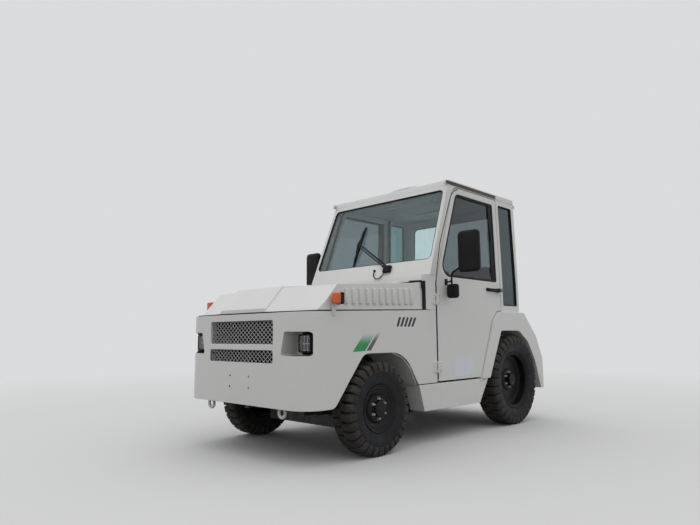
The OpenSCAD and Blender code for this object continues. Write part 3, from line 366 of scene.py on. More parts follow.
def put_down(obj, body, material, slot, *nodes):
    """Gives a finished piece its material, its body and the solids that it stands for, which it hides; its
    slot is not used.
    """
    clear()
    if material is not None:
        obj.data.materials.clear()
        obj.data.materials.append(material)
    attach(obj, body)
    if nodes:
        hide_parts(*nodes)
    return obj


def plated(obj, material):
    """Gives one part of a piece its own finish before the parts are joined."""
    obj.data.materials.clear()
    obj.data.materials.append(material)
    return obj


def two_finishes(obj, first, second, test):
    """Gives a piece one finish, and a second one to the faces that pass a test."""
    plated(obj, first)
    obj.data.materials.append(second)
    pick(obj, "FACE", test)
    obj.active_material_index = 1
    bpy.ops.object.material_slot_assign()
    clear()
    return obj


# Finishes

def new_node(tree, kind):
    return tree.nodes.new("ShaderNode" + kind)


def node_set(name):
    material = bpy.data.materials.new(name)
    material.use_nodes = True
    tree = material.node_tree
    shader = tree.nodes["Principled BSDF"]
    place = new_node(tree, "TexCoord")
    return material, tree, shader, place.outputs["Object"]


def noise(tree, place, scale, detail=4, rough=0.55, stretch=None):
    if stretch is not None:
        mapping = new_node(tree, "Mapping")
        mapping.inputs["Scale"].default_value = stretch
        tree.links.new(place, mapping.inputs["Vector"])
        place = mapping.outputs["Vector"]
    node = new_node(tree, "TexNoise")
    node.inputs["Scale"].default_value = scale
    node.inputs["Detail"].default_value = detail
    node.inputs["Roughness"].default_value = rough
    tree.links.new(place, node.inputs["Vector"])
    return node.outputs["Fac"]


def spread(tree, value, low, high, to_low=0.0, to_high=1.0):
    node = new_node(tree, "MapRange")
    node.interpolation_type = "SMOOTHSTEP"
    for key, number in (("From Min", low), ("From Max", high), ("To Min", to_low), ("To Max", to_high)):
        node.inputs[key].default_value = number
    tree.links.new(value, node.inputs["Value"])
    return node.outputs["Result"]


def blend_colours(tree, share, a, b):
    node = new_node(tree, "Mix")
    node.data_type = "RGBA"
    tree.links.new(share, node.inputs["Factor"])
    for value, socket in ((a, node.inputs[6]), (b, node.inputs[7])):
        if isinstance(value, (tuple, list)):
            socket.default_value = (*value, 1)
        else:
            tree.links.new(value, socket)
    return node.outputs[2]


def times(tree, a, b):
    node = new_node(tree, "Math")
    node.operation = "MULTIPLY"
    for value, socket in ((a, node.inputs[0]), (b, node.inputs[1])):
        if isinstance(value, float):
            socket.default_value = value
        else:
            tree.links.new(value, socket)
    return node.outputs[0]


def bumps(tree, shader, height, strength, distance):
    node = new_node(tree, "Bump")
    node.inputs["Strength"].default_value = strength
    node.inputs["Distance"].default_value = distance
    tree.links.new(height, node.inputs["Height"])
    tree.links.new(node.outputs["Normal"], shader.inputs["Normal"])


def finish(name, colour, other, rough, rough_to=None, metal=0.0, patch=6.0, grain=400.0,
           grain_strength=0.15, grain_depth=0.0004, coat=0.0, dust=None, dust_top=0.5, dust_share=0.5,
           specular=0.5):
    """A surface whose colour and gloss wander in patches, with a fine grain and dust from below."""
    material, tree, shader, place = node_set(name)
    patches = spread(tree, noise(tree, place, patch), 0.35, 0.68)
    tone = blend_colours(tree, patches, colour, other)
    if dust is not None:
        split = new_node(tree, "SeparateXYZ")
        tree.links.new(place, split.inputs["Vector"])
        low = spread(tree, split.outputs["Z"], 0.0, dust_top, 1.0, 0.0)
        specks = spread(tree, noise(tree, place, 14.0, 8, 0.7), 0.38, 0.72)
        tone = blend_colours(tree, times(tree, times(tree, low, specks), dust_share), tone, dust)
    tree.links.new(tone, shader.inputs["Base Color"])
    shader.inputs["Metallic"].default_value = metal
    shader.inputs["Specular IOR Level"].default_value = specular
    if coat > 0:
        shader.inputs["Coat Weight"].default_value = coat
        shader.inputs["Coat Roughness"].default_value = 0.12
    if rough_to is None:
        shader.inputs["Roughness"].default_value = rough
    else:
        gloss = spread(tree, noise(tree, place, patch * 2.3, 6, 0.6), 0.3, 0.7, rough, rough_to)
        tree.links.new(gloss, shader.inputs["Roughness"])
    bumps(tree, shader, noise(tree, place, grain, 3, 0.6), grain_strength, grain_depth)
    return material


def glass(name, colour, rough=0.01):
    """Clear coloured glass with a faint uneven film of dust."""
    material, tree, shader, place = node_set(name)
    film = spread(tree, noise(tree, place, 5.0, 6, 0.6), 0.35, 0.75)
    tree.links.new(blend_colours(tree, film, colour, tuple(0.94 * c for c in colour)),
                   shader.inputs["Base Color"])
    shader.inputs["Transmission Weight"].default_value = 1.0
    shader.inputs["IOR"].default_value = 1.45
    tree.links.new(spread(tree, noise(tree, place, 9.0, 6, 0.6), 0.3, 0.8, rough, rough + 0.03),
                   shader.inputs["Roughness"])
    return material


WHITE = (0.76, 0.755, 0.735)
DUST = (0.34, 0.30, 0.25)
white_paint = finish("white_paint", WHITE, (0.735, 0.73, 0.71), 0.32, 0.44, patch=2.2, grain=260.0,
                     grain_strength=0.05, coat=0.25, dust=DUST, dust_top=0.62, dust_share=0.08)
chassis_paint = finish("chassis_paint", (0.022, 0.022, 0.024), (0.045, 0.042, 0.040), 0.45, 0.7,
                       dust=DUST, dust_top=0.55, dust_share=0.5)
rim_paint = finish("rim_paint", (0.004, 0.004, 0.0045), (0.007, 0.007, 0.007), 0.36, 0.52, patch=9.0,
                   dust=DUST, dust_top=0.75, dust_share=0.015, specular=0.25)
rubber_wall = finish("tyre_sidewall_rubber", (0.005, 0.0056, 0.008), (0.010, 0.0105, 0.013), 0.55, 0.75,
                     patch=7.0, grain=700.0, grain_strength=0.25, specular=0.35)
rubber_lug = finish("tyre_tread_rubber", (0.026, 0.0235, 0.021), (0.056, 0.050, 0.044), 0.85, 0.95,
                    patch=16.0, grain=500.0, grain_strength=0.4, grain_depth=0.001)
mesh_paint = finish("grille_mesh_paint", (0.76, 0.76, 0.75), (0.66, 0.66, 0.65), 0.4, 0.55)
black_plastic = finish("black_plastic", (0.006, 0.006, 0.0065), (0.010, 0.010, 0.0105), 0.42, 0.55,
                       grain=900.0, grain_strength=0.3, specular=0.2)
black_rubber = finish("black_rubber", (0.006, 0.006, 0.0065), (0.010, 0.010, 0.0105), 0.6, 0.75,
                      specular=0.3)
zinc = finish("zinc_plate", (0.50, 0.48, 0.42), (0.40, 0.385, 0.34), 0.4, 0.55, metal=0.6, patch=30.0)
iron = finish("engine_iron", (0.07, 0.075, 0.08), (0.12, 0.12, 0.12), 0.5, 0.7, metal=0.3,
              grain=120.0, grain_strength=0.3)
cab_plastic = finish("cab_plastic", (0.10, 0.105, 0.11), (0.13, 0.133, 0.135), 0.5, 0.6,
                     grain=600.0, grain_strength=0.4)
floor_rubber = finish("floor_rubber", (0.04, 0.04, 0.042), (0.06, 0.058, 0.055), 0.8, 0.9,
                      grain=160.0, grain_strength=0.5, grain_depth=0.002)
seat_vinyl = finish("seat_vinyl", (0.030, 0.031, 0.034), (0.042, 0.043, 0.046), 0.5, 0.62,
                    grain=330.0, grain_strength=0.5, grain_depth=0.0008)
window_glass = glass("window_glass", (0.80, 0.93, 0.93))
side_glass = glass("side_window_glass", (0.17, 0.20, 0.22))
quarter_glass = glass("quarter_window_glass", (0.16, 0.28, 0.30))
lens_glass = glass("lens_glass", (0.92, 0.93, 0.94))
lens_milk = finish("clear_lens", (0.74, 0.76, 0.78), (0.68, 0.70, 0.72), 0.10, 0.18, coat=0.4)
lamp_chrome = finish("reflector_chrome", (0.30, 0.31, 0.32), (0.22, 0.225, 0.23), 0.10, 0.2, metal=1.0)
emitter = finish("lamp_emitter", (0.80, 0.78, 0.62), (0.74, 0.72, 0.56), 0.2, 0.3, patch=60.0)
mirror_silver = finish("mirror_silver", (0.86, 0.87, 0.88), (0.83, 0.84, 0.85), 0.02, 0.05, metal=1.0,
                       grain_strength=0.01)
bolt_grey = finish("painted_bolt", (0.60, 0.60, 0.58), (0.44, 0.44, 0.43), 0.35, 0.5, metal=0.3, patch=40.0)
# Painted shade: a dark brown for the inner faces under the front plate and in its wheel arches
underseal = finish("underseal", (0.060, 0.052, 0.045), (0.095, 0.083, 0.072), 0.8, 0.95, patch=11.0,
                   grain=180.0, grain_strength=0.5, grain_depth=0.0015)
# Black of the radiator core, also used as painted shade behind the front plate's holes
core_and_hole_shade_black = finish("radiator_and_hole_shade_black", (0.004, 0.004, 0.004), (0.008, 0.008, 0.008), 0.7, 0.85, specular=0.2)
band_brown = finish("roof_band", (0.055, 0.035, 0.028), (0.075, 0.050, 0.040), 0.45, 0.6)
lining = finish("ceiling_lining", (0.86, 0.87, 0.86), (0.82, 0.83, 0.82), 0.75, 0.85, grain=500.0,
                grain_strength=0.4)
blank_vinyl = finish("blank_plate_vinyl", (0.78, 0.80, 0.86), (0.74, 0.765, 0.83), 0.3, 0.42, patch=9.0)
slash_black = finish("slash_black", (0.018, 0.018, 0.020), (0.030, 0.029, 0.030), 0.3, 0.45, patch=20.0)


def fading(name, colour, other, low, high):
    """A stripe printed on the paint, whose colour gives way to the paint's own with height."""
    material, tree, shader, place = node_set(name)
    split = new_node(tree, "SeparateXYZ")
    tree.links.new(place, split.inputs["Vector"])
    patches = spread(tree, noise(tree, place, 24.0), 0.35, 0.68)
    tone = blend_colours(tree, patches, colour, other)
    share = spread(tree, split.outputs["Z"], low * MM, high * MM)
    tree.links.new(blend_colours(tree, share, tone, WHITE), shader.inputs["Base Color"])
    tree.links.new(spread(tree, noise(tree, place, 9.0), 0.3, 0.7, 0.32, 0.44), shader.inputs["Roughness"])
    bumps(tree, shader, noise(tree, place, 260.0, 3, 0.6), 0.05, 0.0004)
    return material


green_fade = fading("green_stripe", (0.020, 0.29, 0.085), (0.026, 0.33, 0.10), 700, 786)
dark_fade = fading("dark_stripe", (0.09, 0.10, 0.10), (0.12, 0.125, 0.125), 715, 796)
amber_lens = finish("amber_lens", (0.80, 0.115, 0.006), (0.70, 0.08, 0.004), 0.12, 0.2, coat=0.4)
red_lens = finish("red_lens", (0.55, 0.01, 0.008), (0.45, 0.008, 0.006), 0.12, 0.2, coat=0.4)

# Solids by their plain finish and its slot
PLAIN = (
    (chassis_paint, "chassis_black", "chassis front_axle rear_axle springs drive_shaft knuckle_left"
                                     " knuckle_right tie_rod tow_jaw"),
    (black_plastic, "black_plastic", "headlamps wiper steering_wheel door_fittings_left"
                                     " door_fittings_right"),
    (iron, "engine_iron", "engine"), (floor_rubber, "floor_rubber", "floor"),
    (cab_plastic, "cab_plastic", "dashboard"), (amber_lens, "amber_lens", "marker_lamps"),
    (red_lens, "red_lens", "tail_lamps"), (black_rubber, "black_rubber", "hood_seal"),
    (seat_vinyl, "seat_vinyl", "seats"), (mesh_paint, "grille_grey", "grilles"),
    (window_glass, "tinted_glass", "cab_glass"),
    (side_glass, "tinted_glass", "door_glass_left door_glass_right"))
for material, slot, nodes in PLAIN:
    for node in nodes.split():
        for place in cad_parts[node].material_slots:
            place.material = material

RAKE = math.radians(21.5)
SCREEN_UP = 619.1


def on_screen(x, up, out=0.0):
    """A place across the windscreen, up its plane and out from it."""
    return (x, 1262 + up * math.sin(RAKE) - out * math.cos(RAKE),
            1329 + up * math.cos(RAKE) + out * math.sin(RAKE))


def wall_x(z):
    """Distance of the cab's leaning side from the middle at a height."""
    return HALF_W - max(0.0, z - 1200) * 20 / 790


def ring(name, outline, margin, push):
    """A flat frame: an outline of places, cut out by an inner margin and given its thickness."""
    obj = drawn(name, outline, (0, 0, 0))
    every(obj, "FACE")
    bpy.ops.mesh.inset(thickness=margin * MM, depth=0, use_boundary=True)
    bpy.ops.mesh.delete(type="FACE")
    bpy.ops.mesh.select_all(action="SELECT")
    push_out(push)
    bpy.ops.mesh.select_all(action="SELECT")
    bpy.ops.mesh.normals_make_consistent(inside=False)
    clear()
    return obj


def both_sides(obj, body, material, slot, *nodes):
    """Puts down a left piece and its mirror image; a body or node ending in _ has its side added."""
    other = mirrored(obj, obj.name + "_right")
    obj.name = obj.name + "_left"
    for piece, side in ((obj, "left"), (other, "right")):
        named_body = body + side if body.endswith("_") else body
        named_nodes = [n + side if n.endswith("_") else n for n in nodes]
        put_down(piece, named_body, material, slot, *named_nodes)
    return obj, other


# Painted panels: each keeps its solid's form, with its folded and cut edges rounded
PANELS = {
    "cab_front": ("tractor", 2.2), "cab_rear": ("tractor", 2.5), "side_frame_left": ("tractor", 2.5),
    "side_frame_right": ("tractor", 2.5), "door_left": ("door_left", 2.2),
    "door_right": ("door_right", 2.2), "side_steps": ("tractor", 3.0),
    "rear_fenders": ("tractor", 4.0), "rear_body": ("tractor", 3.0)}
for node, (body, width) in PANELS.items():
    panel = skin_of(node, node + "_panel")
    round_edges(panel, width)
    weigh_normals(panel)
    put_down(panel, body, white_paint, "white_paint", node)


def below_plate(mid, way):
    """Inner faces of the front bodywork under the plate, which get a dark brown painted shade."""
    outwards = way.x * math.copysign(1, mid.x) > 0.1 or way.y < -0.1
    return mid.z < 0.655 and abs(mid.x) < 0.637 and not outwards


panel = skin_of("front_plate", "front_plate_panel")
round_edges(panel, 2.2)
# The inner faces under the plate take the dark brown painted shade
two_finishes(panel, white_paint, underseal, below_plate)
weigh_normals(panel)
put_down(panel, "tractor", None, "white_paint", "front_plate")


panel = skin_of("hood", "hood_panel")
round_edges(panel, 1.0, 2, 30, 2.5, lambda mid: abs(mid.x) > 0.6425 and mid.z < 1.09)
round_edges(panel, 2.5, 3, 30, 2.5, lambda mid: not (abs(mid.x) > 0.62 and 0.94 < mid.z < 1.095))
weigh_normals(panel)
put_down(panel, "hood", white_paint, "white_paint", "hood")

# Pressed ribs of the hood's sides; their lower and upper ends rise with the panel
RIB_COUNT = 11
RIB_PITCH = 65.6
ribs = []
for k in range(RIB_COUNT):
    ahead = 339 + RIB_PITCH * k
    low, high = 958 + RIB_PITCH * k * 0.028, 1051 + RIB_PITCH * k * 0.055
    rib = block("hood_rib", (641, ahead - 15, low), (658, ahead + 14, high))
    pick(rib, "EDGE", lambda mid, way: mid.x > 0.65 and abs(way.z) > 0.9)
    bpy.ops.mesh.bevel(offset=13 * MM, segments=8, affect="EDGES", clamp_overlap=True)
    bevel_sharp(rib, 4, 3, 50)
    ribs.append(plated(rib, white_paint))
ribs = joined("hood_ribs", ribs)
both_sides(smooth(ribs, 50), "hood", None, "white_paint")

panes = skin_of("cab_glass", "cab_panes")
two_finishes(panes, window_glass, quarter_glass,
             lambda mid, way: abs(mid.x) > 0.6 and mid.y > at(0, 2255, 0).y)
put_down(panes, "tractor", None, "tinted_glass", "cab_glass")

# Grilles: crossing strands in a frame, cut off square at the frame's middle
MESH_TILT = math.degrees(math.atan2(30, 40))
MESH_PITCH = 40
STRAND_HALF = 1.1
grille_parts = []
for low, high in ((593, 673), (709, 858)):
    middle = (low + high) / 2
    strands = []
    for turn in (-1, 1):
        for k in range(-14, 15):
            across = MESH_PITCH * k
            strand = block("strand", (across - 130, 13, middle - STRAND_HALF),
                           (across + 130, 14.6, middle + STRAND_HALF))
            strands.append(turned_about(strand, turn * MESH_TILT, "Y", (across, 14, middle)))
    strands = joined("strands", strands)
    for place, out in (((-347, 14, middle), (-1, 0, 0)), ((347, 14, middle), (1, 0, 0)),
                       ((0, 14, low - 3), (0, 0, -1)), ((0, 14, high + 3), (0, 0, 1))):
        every(strands)
        bpy.ops.mesh.bisect(plane_co=at(*place), plane_no=out, use_fill=True, clear_outer=True)
        clear()
    edge = [(-350, 12.4, low - 6), (350, 12.4, low - 6), (350, 12.4, high + 6), (-350, 12.4, high + 6)]
    frame_bar = ring("mesh_frame", edge, 7, run(0, 3.4, 0))
    grille_parts += [strands, frame_bar]
mesh = joined("grille_mesh", grille_parts)
put_down(mesh, "tractor", mesh_paint, "grille_grey", "grilles")

panel = skin_of("roof", "roof_panel")
round_edges(panel, 9, 4, 30, 2.5,
            lambda mid: abs(mid.x) < 0.6 or at(0, 1530, 0).y < mid.y < at(0, 2520, 0).y)
weigh_normals(panel)
put_down(panel, "tractor", white_paint, "white_paint", "roof")


# Rubber round the windows
screen_edge = round_corners([(-622, 0, 40), (622, 0, 40), (600, SCREEN_UP, 40), (-600, SCREEN_UP, 40)])
bead = rod("windscreen_rubber", [on_screen(a, b, -10) for a, b in screen_edge], 9, 12, closed=True)
put_down(smooth(bead, 60), "tractor", black_rubber, "black_rubber")

REAR_PANE = round_corners([(-520, 1120, 50), (520, 1120, 50), (500, 1860, 50), (-500, 1860, 50)])
rubber = rod("rear_window_rubber", [(a, 2541, b) for a, b in REAR_PANE], 9, 12, closed=True)
put_down(smooth(rubber, 60), "tractor", black_rubber, "black_rubber")

QUARTER_PANE = round_corners([(2272, 1010, 16), (2272, 1200, 0), (2272, 1895, 16), (2500, 1895, 16),
                              (2509.4, 1200, 0), (2512, 1010, 16)])
rubber = rod("quarter_window_rubber", [(wall_x(b) - 9, a, b) for a, b in QUARTER_PANE], 9, 12, closed=True)
both_sides(smooth(rubber, 60), "tractor", black_rubber, "black_rubber")

DOOR_PANE = round_corners([(1378, 1203, 90), (1378, 1300, 30), (1608, 1885, 60), (2174, 1885, 20),
                           (2174, 1203, 20)], 8)
sash = ring("door_window_frame", [(wall_x(b) - 12, a, b) for a, b in DOOR_PANE], 19, run(10, 0, 0.25))
bevel_sharp(sash, 1.5, 2, 40)
stile = bevel_sharp(block("sash_stile", (635, 2104, 1208), (645, 2172, 1882)), 1.5, 2)
catch = bevel_sharp(block("sash_catch", (641, 2107, 1565), (653, 2125, 1640)), 4, 3)
stile = turned_about(joined("sash_stile", [stile, catch]), -1.45, "Y", (650, 0, 1200))
sash = joined("door_window_frame", [sash, stile])
both_sides(smooth(sash, 35), "door_", black_plastic, "black_plastic")

# Rubber that shows in the gaps round the doors and under the hood
DOOR_HOLE = round_corners([(1277, 423, 12), (1279, 1150, 0), (1569, 1942, 116), (2230, 1938, 20),
                           (2230, 423, 12)], 8)
seal = rod("door_seal", [(wall_x(b) - 51, a, b) for a, b in DOOR_HOLE], 10, 8, closed=True)
both_sides(smooth(seal, 60), "tractor", black_rubber, "black_rubber")

plan = [(628, 1085), (628, 150)]
REST_CORNER = (500, 150, 128)
plan += [(REST_CORNER[0] + REST_CORNER[2] * math.cos(a * math.pi / 16),
          REST_CORNER[1] - REST_CORNER[2] * math.sin(a * math.pi / 16)) for a in range(1, 9)]
plan += [(-x, y) for x, y in reversed(plan)]
seal = rod("hood_rest_rubber", [(x, y, 902 + y * 0.0329) for x, y in plan], 7, 8)
put_down(smooth(seal, 60), "tractor", black_rubber, "black_rubber")

lip = skin_of("hood_seal", "hood_edge_rubber")
round_edges(lip, 4, 3)
every(lip)
sized((1, 1.75, 1), 0, 1143, 0)
weigh_normals(lip)
cord = [lip]
for side, sign in SIDES:
    path = [(sign * 645, 1124, 1098), (sign * 643, 1124, 1150), (sign * 530, 1120, 1152)]
    cord.append(rod("hood_cord", bend_line(path, 16), 8, 10))
lip = joined("hood_edge_rubber", cord)
put_down(lip, "tractor", black_rubber, "black_rubber", "hood_seal")

# Dark edge along the door's front and top, and the band on the roof's side above it
DOOR_EDGE = [(1287, 440), (1287, 1150), (1300, 1235), (1356, 1450), (1510, 1800), (1545, 1866),
             (1590, 1905), (1640, 1926)]
trim = rod("door_edge_trim", [(wall_x(b) - 0.6, a, b) for a, b in DOOR_EDGE], 4, 8)
both_sides(smooth(trim, 60), "door_", black_rubber, "black_rubber")
band = bevel_along(block("roof_band", (629, 1484, 1948), (632, 2240, 1976)), 0, 6, 3)
close_seams(band)
both_sides(band, "tractor", band_brown, "black_plastic")

# Work lamps in their pockets: finned case, dished reflector with six emitters, clear lens
case = bevel_along(block("headlamp", (509, 64, 662), (617, 92, 770)), 1, 12, 4)
pick(case, "FACE", lambda mid, way: way.y < -0.9)
bpy.ops.mesh.inset(thickness=8 * MM, depth=0)
push_out(run(0, 14, 0))
bevel_sharp(case, 1.5, 2, 50)
case_parts = [plated(case, black_plastic)]
for k in range(-3, 4):
    fin = bevel_sharp(block("fin", (517, 91, 714 + 14 * k), (609, 106, 718 + 14 * k)), 1.2, 1)
    case_parts.append(plated(fin, black_plastic))
foot = bevel_sharp(block("lamp_foot", (543, 91, 696), (583, 124, 736)), 3, 2)
case_parts.append(plated(foot, black_plastic))
clear()
bpy.ops.mesh.primitive_grid_add(x_subdivisions=3, y_subdivisions=2, size=0.088, location=at(563, 77.5, 716),
                                rotation=(math.radians(90), 0, 0))
dish = settle(named("reflector"))
every(dish, "FACE")
bpy.ops.mesh.inset(thickness=2.2 * MM, depth=0, use_individual=True)
bpy.ops.mesh.inset(thickness=5 * MM, depth=-6 * MM, use_individual=True)
bpy.ops.mesh.normals_make_consistent(inside=False)
clear()
case_parts.append(two_finishes(dish, lamp_chrome, emitter, lambda mid, way: mid.y > at(0, 82, 0).y))
bolt = turned("lamp_bolt", [(0, 0), (0, 7), (3, 7), (5, 5), (5, 0)], (499, 100, 717),
              (0, -1, 0), (1, 0, 0), 12, closed=False)
case_parts.append(plated(bolt, zinc))
# A black plate behind the lamp: painted shade for the dark inside of the pocket
back = bevel_sharp(block("pocket_shade_plate", (492, 108, 649), (628, 121, 782)), 3, 2)
case_parts.append(plated(back, black_plastic))
lamps = joined("headlamp", case_parts)
both_sides(smooth(lamps, 35), "tractor", None, "black_plastic", "headlamps")
pane = bevel_along(block("headlamp_lens", (518, 66, 671), (608, 69, 761)), 1, 8, 4)
bevel_sharp(pane, 0.8, 2, 50)
both_sides(pane, "tractor", lens_glass, "tinted_glass")

# Marker lamps on their brackets: amber in front, black behind
arm = block("marker_bracket", (650, 206, 880), (655, 238, 946))
wing = block("bracket_wing", (652, 212, 942), (694, 232, 947))
bevel_sharp(arm, 1.5, 2)
bevel_sharp(wing, 1.5, 2)
shell = bevel_along(block("marker_shell", (659, 222, 949), (717, 251, 1021)), 1, 10, 4)
bevel_sharp(shell, 4, 3, 50)
cap = bevel_along(block("marker_cap", (660, 193, 950), (716, 223, 1020)), 1, 11, 4)
pick(cap, "FACE", lambda mid, way: way.y < -0.9)
sized((0.90, 1, 0.93), 688, 193, 985)
bevel_sharp(cap, 5, 3, 50)
marker = joined("marker_lamp", [plated(arm, white_paint), plated(wing, white_paint),
                                plated(shell, black_plastic), plated(cap, amber_lens)])
both_sides(smooth(marker, 40), "tractor", None, "amber_lens", "marker_lamps")

# Tow rings: bent round bar on a welded lug
eye = turned("tow_ring", circle(29, 10), (384, 48, 302), (0, 1, 0), (0, 0, 1), 40)
lug = block("ring_lug", (366, 39, 328), (402, 57, 362))
shelf = block("ring_shelf", (346, 13, 336), (422, 118, 358))
bevel_sharp(lug, 3, 2)
bevel_sharp(shelf, 3, 2)
eye = joined("tow_ring", [eye, lug, shelf])
both_sides(smooth(eye, 45), "tractor", white_paint, "white_paint", "tow_rings")

# Wiper: two arms from the motor's cover to a jointed blade, with a washer hose
WIPER_FOOT = (224, -52)
WIPER_HEAD = (-171, 206)
cover = bevel_sharp(block("wiper_cover", (186, 0, 0), (262, 60, 26)), 8, 4)
parts = [cover]
laid = Matrix.Translation(at(*on_screen(0, 0))) @ Matrix.Rotation(math.pi / 2 - RAKE, 4, "X")


def lay_on_glass(obj, across, up, degrees=0.0):
    """Lays a piece made flat at the origin on the windscreen's plane."""
    turn = Matrix.Translation(run(across, up, 0)) @ Matrix.Rotation(math.radians(degrees), 4, "Z")
    obj.matrix_world = laid @ turn @ Matrix.Translation(-at(0, 0, 0)) @ obj.matrix_world
    settle(obj)
    return obj


lay_on_glass(cover, 0, -88)
run_x, run_up = WIPER_HEAD[0] - WIPER_FOOT[0], WIPER_HEAD[1] - WIPER_FOOT[1]
reach, slant = math.hypot(run_x, run_up), math.degrees(math.atan2(run_up, run_x))
for shift, width in ((13, 13), (-10, 9)):
    bar = bevel_sharp(block("wiper_arm", (0, -width / 2, 12), (reach, width / 2, 19)), 1.5, 2)
    parts.append(lay_on_glass(bar, WIPER_FOOT[0], WIPER_FOOT[1] + shift, slant))
root = block("arm_root", (-26, -20, 6), (64, 22, 24))
pick(root, "FACE", lambda mid, way: way.x > 0.9)
sized((1, 0.75, 0.6), 64, 1, 12)
bevel_sharp(root, 4, 3)
parts.append(lay_on_glass(root, WIPER_FOOT[0], WIPER_FOOT[1], slant))
joint = bevel_sharp(block("blade_joint", (-16, -24, 2), (16, 24, 20)), 3, 2)
parts.append(lay_on_glass(joint, WIPER_HEAD[0], WIPER_HEAD[1], 3))
for low, high, deep, tall, wide in ((-194, 194, -13, -4, 7), (-150, -30, 0, 8, 10), (30, 150, 0, 8, 10),
                                    (-190, -110, -5, 1, 9), (110, 190, -5, 1, 9), (-64, 64, 6, 13, 15)):
    bow = bevel_sharp(block("blade_part", (-wide, low, deep), (wide, high, tall)), 1.5, 2)
    parts.append(lay_on_glass(bow, WIPER_HEAD[0], WIPER_HEAD[1] - 6, -3))
hose_line = [on_screen(138 + 54 * math.cos(math.radians(a)), -72 + 62 * math.sin(math.radians(a)), 8)
             for a in range(168, 372, 10)]
parts.append(rod("washer_hose", hose_line, 4, 8))
nozzle = turned("washer_nozzle", [(0, 0), (0, 10), (9, 10), (12, 6), (17, 5), (17, 0)],
                on_screen(85, -58, 0), (0, -math.cos(RAKE), math.sin(RAKE)), (1, 0, 0), 16, closed=False)
parts.append(nozzle)
wiper = joined("wiper_set", parts)
put_down(smooth(wiper, 40), "tractor", black_plastic, "black_plastic", "wiper")


# Mirrors, arm, handle and hinge bolts of the doors
def mirror_head(name, x0, z0, x1, z1, depth, corner):
    """A moulded shell crowned towards the front, with its glass in a rim at the back."""
    crown = depth * 0.42
    shell = bevel_along(block(name, (x0, 1400 + crown, z0), (x1, 1400 + depth, z1)), 1, corner, 6)
    pick(shell, "FACE", lambda mid, way: way.y < -0.9)
    push_out(run((x0 - x1) * 0.05, -crown, 0))
    sized((0.78, 1, 0.88), (x0 + x1) / 2, 1400, (z0 + z1) / 2)
    pick(shell, "FACE", lambda mid, way: way.y > 0.9)
    bpy.ops.mesh.inset(thickness=7 * MM, depth=0)
    bpy.ops.mesh.inset(thickness=1.5 * MM, depth=-5 * MM)
    bevel_sharp(shell, 3.5, 3, 28)
    smooth(shell, 50)
    plated(shell, black_plastic)
    face = block("mirror_face", (x0 + 10, 1400 + depth - 6, z0 + 10), (x1 - 10, 1400 + depth - 3, z1 - 10))
    bevel_along(face, 1, max(4, corner - 10), 6)
    bevel_sharp(face, 0.8, 1, 50)
    smooth(face, 35)
    return [shell, plated(face, mirror_silver)]


fittings = mirror_head("mirror_shell", 765, 1222, 945, 1535, 40, 34)
fittings += mirror_head("mirror_shell", 660, 1035, 758, 1142, 30, 24)
stalk = rod("mirror_arm", bend_line([(703, 1415, 1128), (703, 1415, 1218), (776, 1415, 1262)], 20), 7, 12)
brace = rod("mirror_brace", bend_line([(655, 1415, 1160), (690, 1415, 1160), (703, 1415, 1176)], 8), 6, 10)
base = bevel_sharp(block("arm_base", (650, 1399, 1136), (657, 1431, 1184)), 2.5, 2)
for piece in (stalk, brace, base):
    smooth(piece, 45)
    fittings.append(plated(piece, black_plastic))
grip = block("door_handle", (663, 2000, 1126), (678, 2190, 1144))
pick(grip, "FACE", lambda mid, way: way.y < -0.9)
sized((0.7, 1, 0.72), 668, 2000, 1137)
bevel_sharp(grip, 4, 3)
boss = bevel_along(block("handle_boss", (650, 2150, 1120), (680, 2215, 1150)), 0, 7, 4)
bevel_sharp(boss, 3, 2, 50)
plate = bevel_sharp(block("handle_plate", (649.5, 1996, 1121), (654, 2160, 1149)), 2, 2)
for piece in (grip, boss, plate):
    smooth(piece, 40)
    fittings.append(plated(piece, black_plastic))
lock = turned("lock", [(0, 0), (0, 8), (3, 8), (3, 0)], (679, 2192, 1135), (1, 0, 0), (0, 0, 1), 16,
              closed=False)
fittings.append(plated(lock, zinc))
both_sides(joined("mirrors_and_handle", fittings), "door_", None, "black_plastic", "door_fittings_")

HINGE_HEIGHTS = (530, 1026)


def hinge_bolt(ahead, height):
    return turned("hinge_bolt", [(0, 0), (0, 5.5), (2, 5.5), (4, 3.5), (4, 0)], (654, ahead, height),
                  (1, 0, 0), (0, 0, 1), 10, closed=False)


leaves = []
for z in HINGE_HEIGHTS:
    leaf = bevel_sharp(block("hinge_leaf", (649.5, 1295, z - 38), (654.5, 1333, z + 38)), 1.5, 2)
    leaves.append(plated(leaf, white_paint))
    for drop in (-26, 0, 26):
        leaves.append(plated(hinge_bolt(1319, z + drop), bolt_grey))
leaves = joined("door_hinge_leaves", leaves)
both_sides(smooth(leaves, 40), "door_", None, "white_paint")
heads = [hinge_bolt(1243, z + drop) for z in HINGE_HEIGHTS for drop in (-28, 0, 28)]
heads = joined("post_hinge_bolts", heads)
both_sides(smooth(heads, 40), "tractor", bolt_grey, "black_plastic")

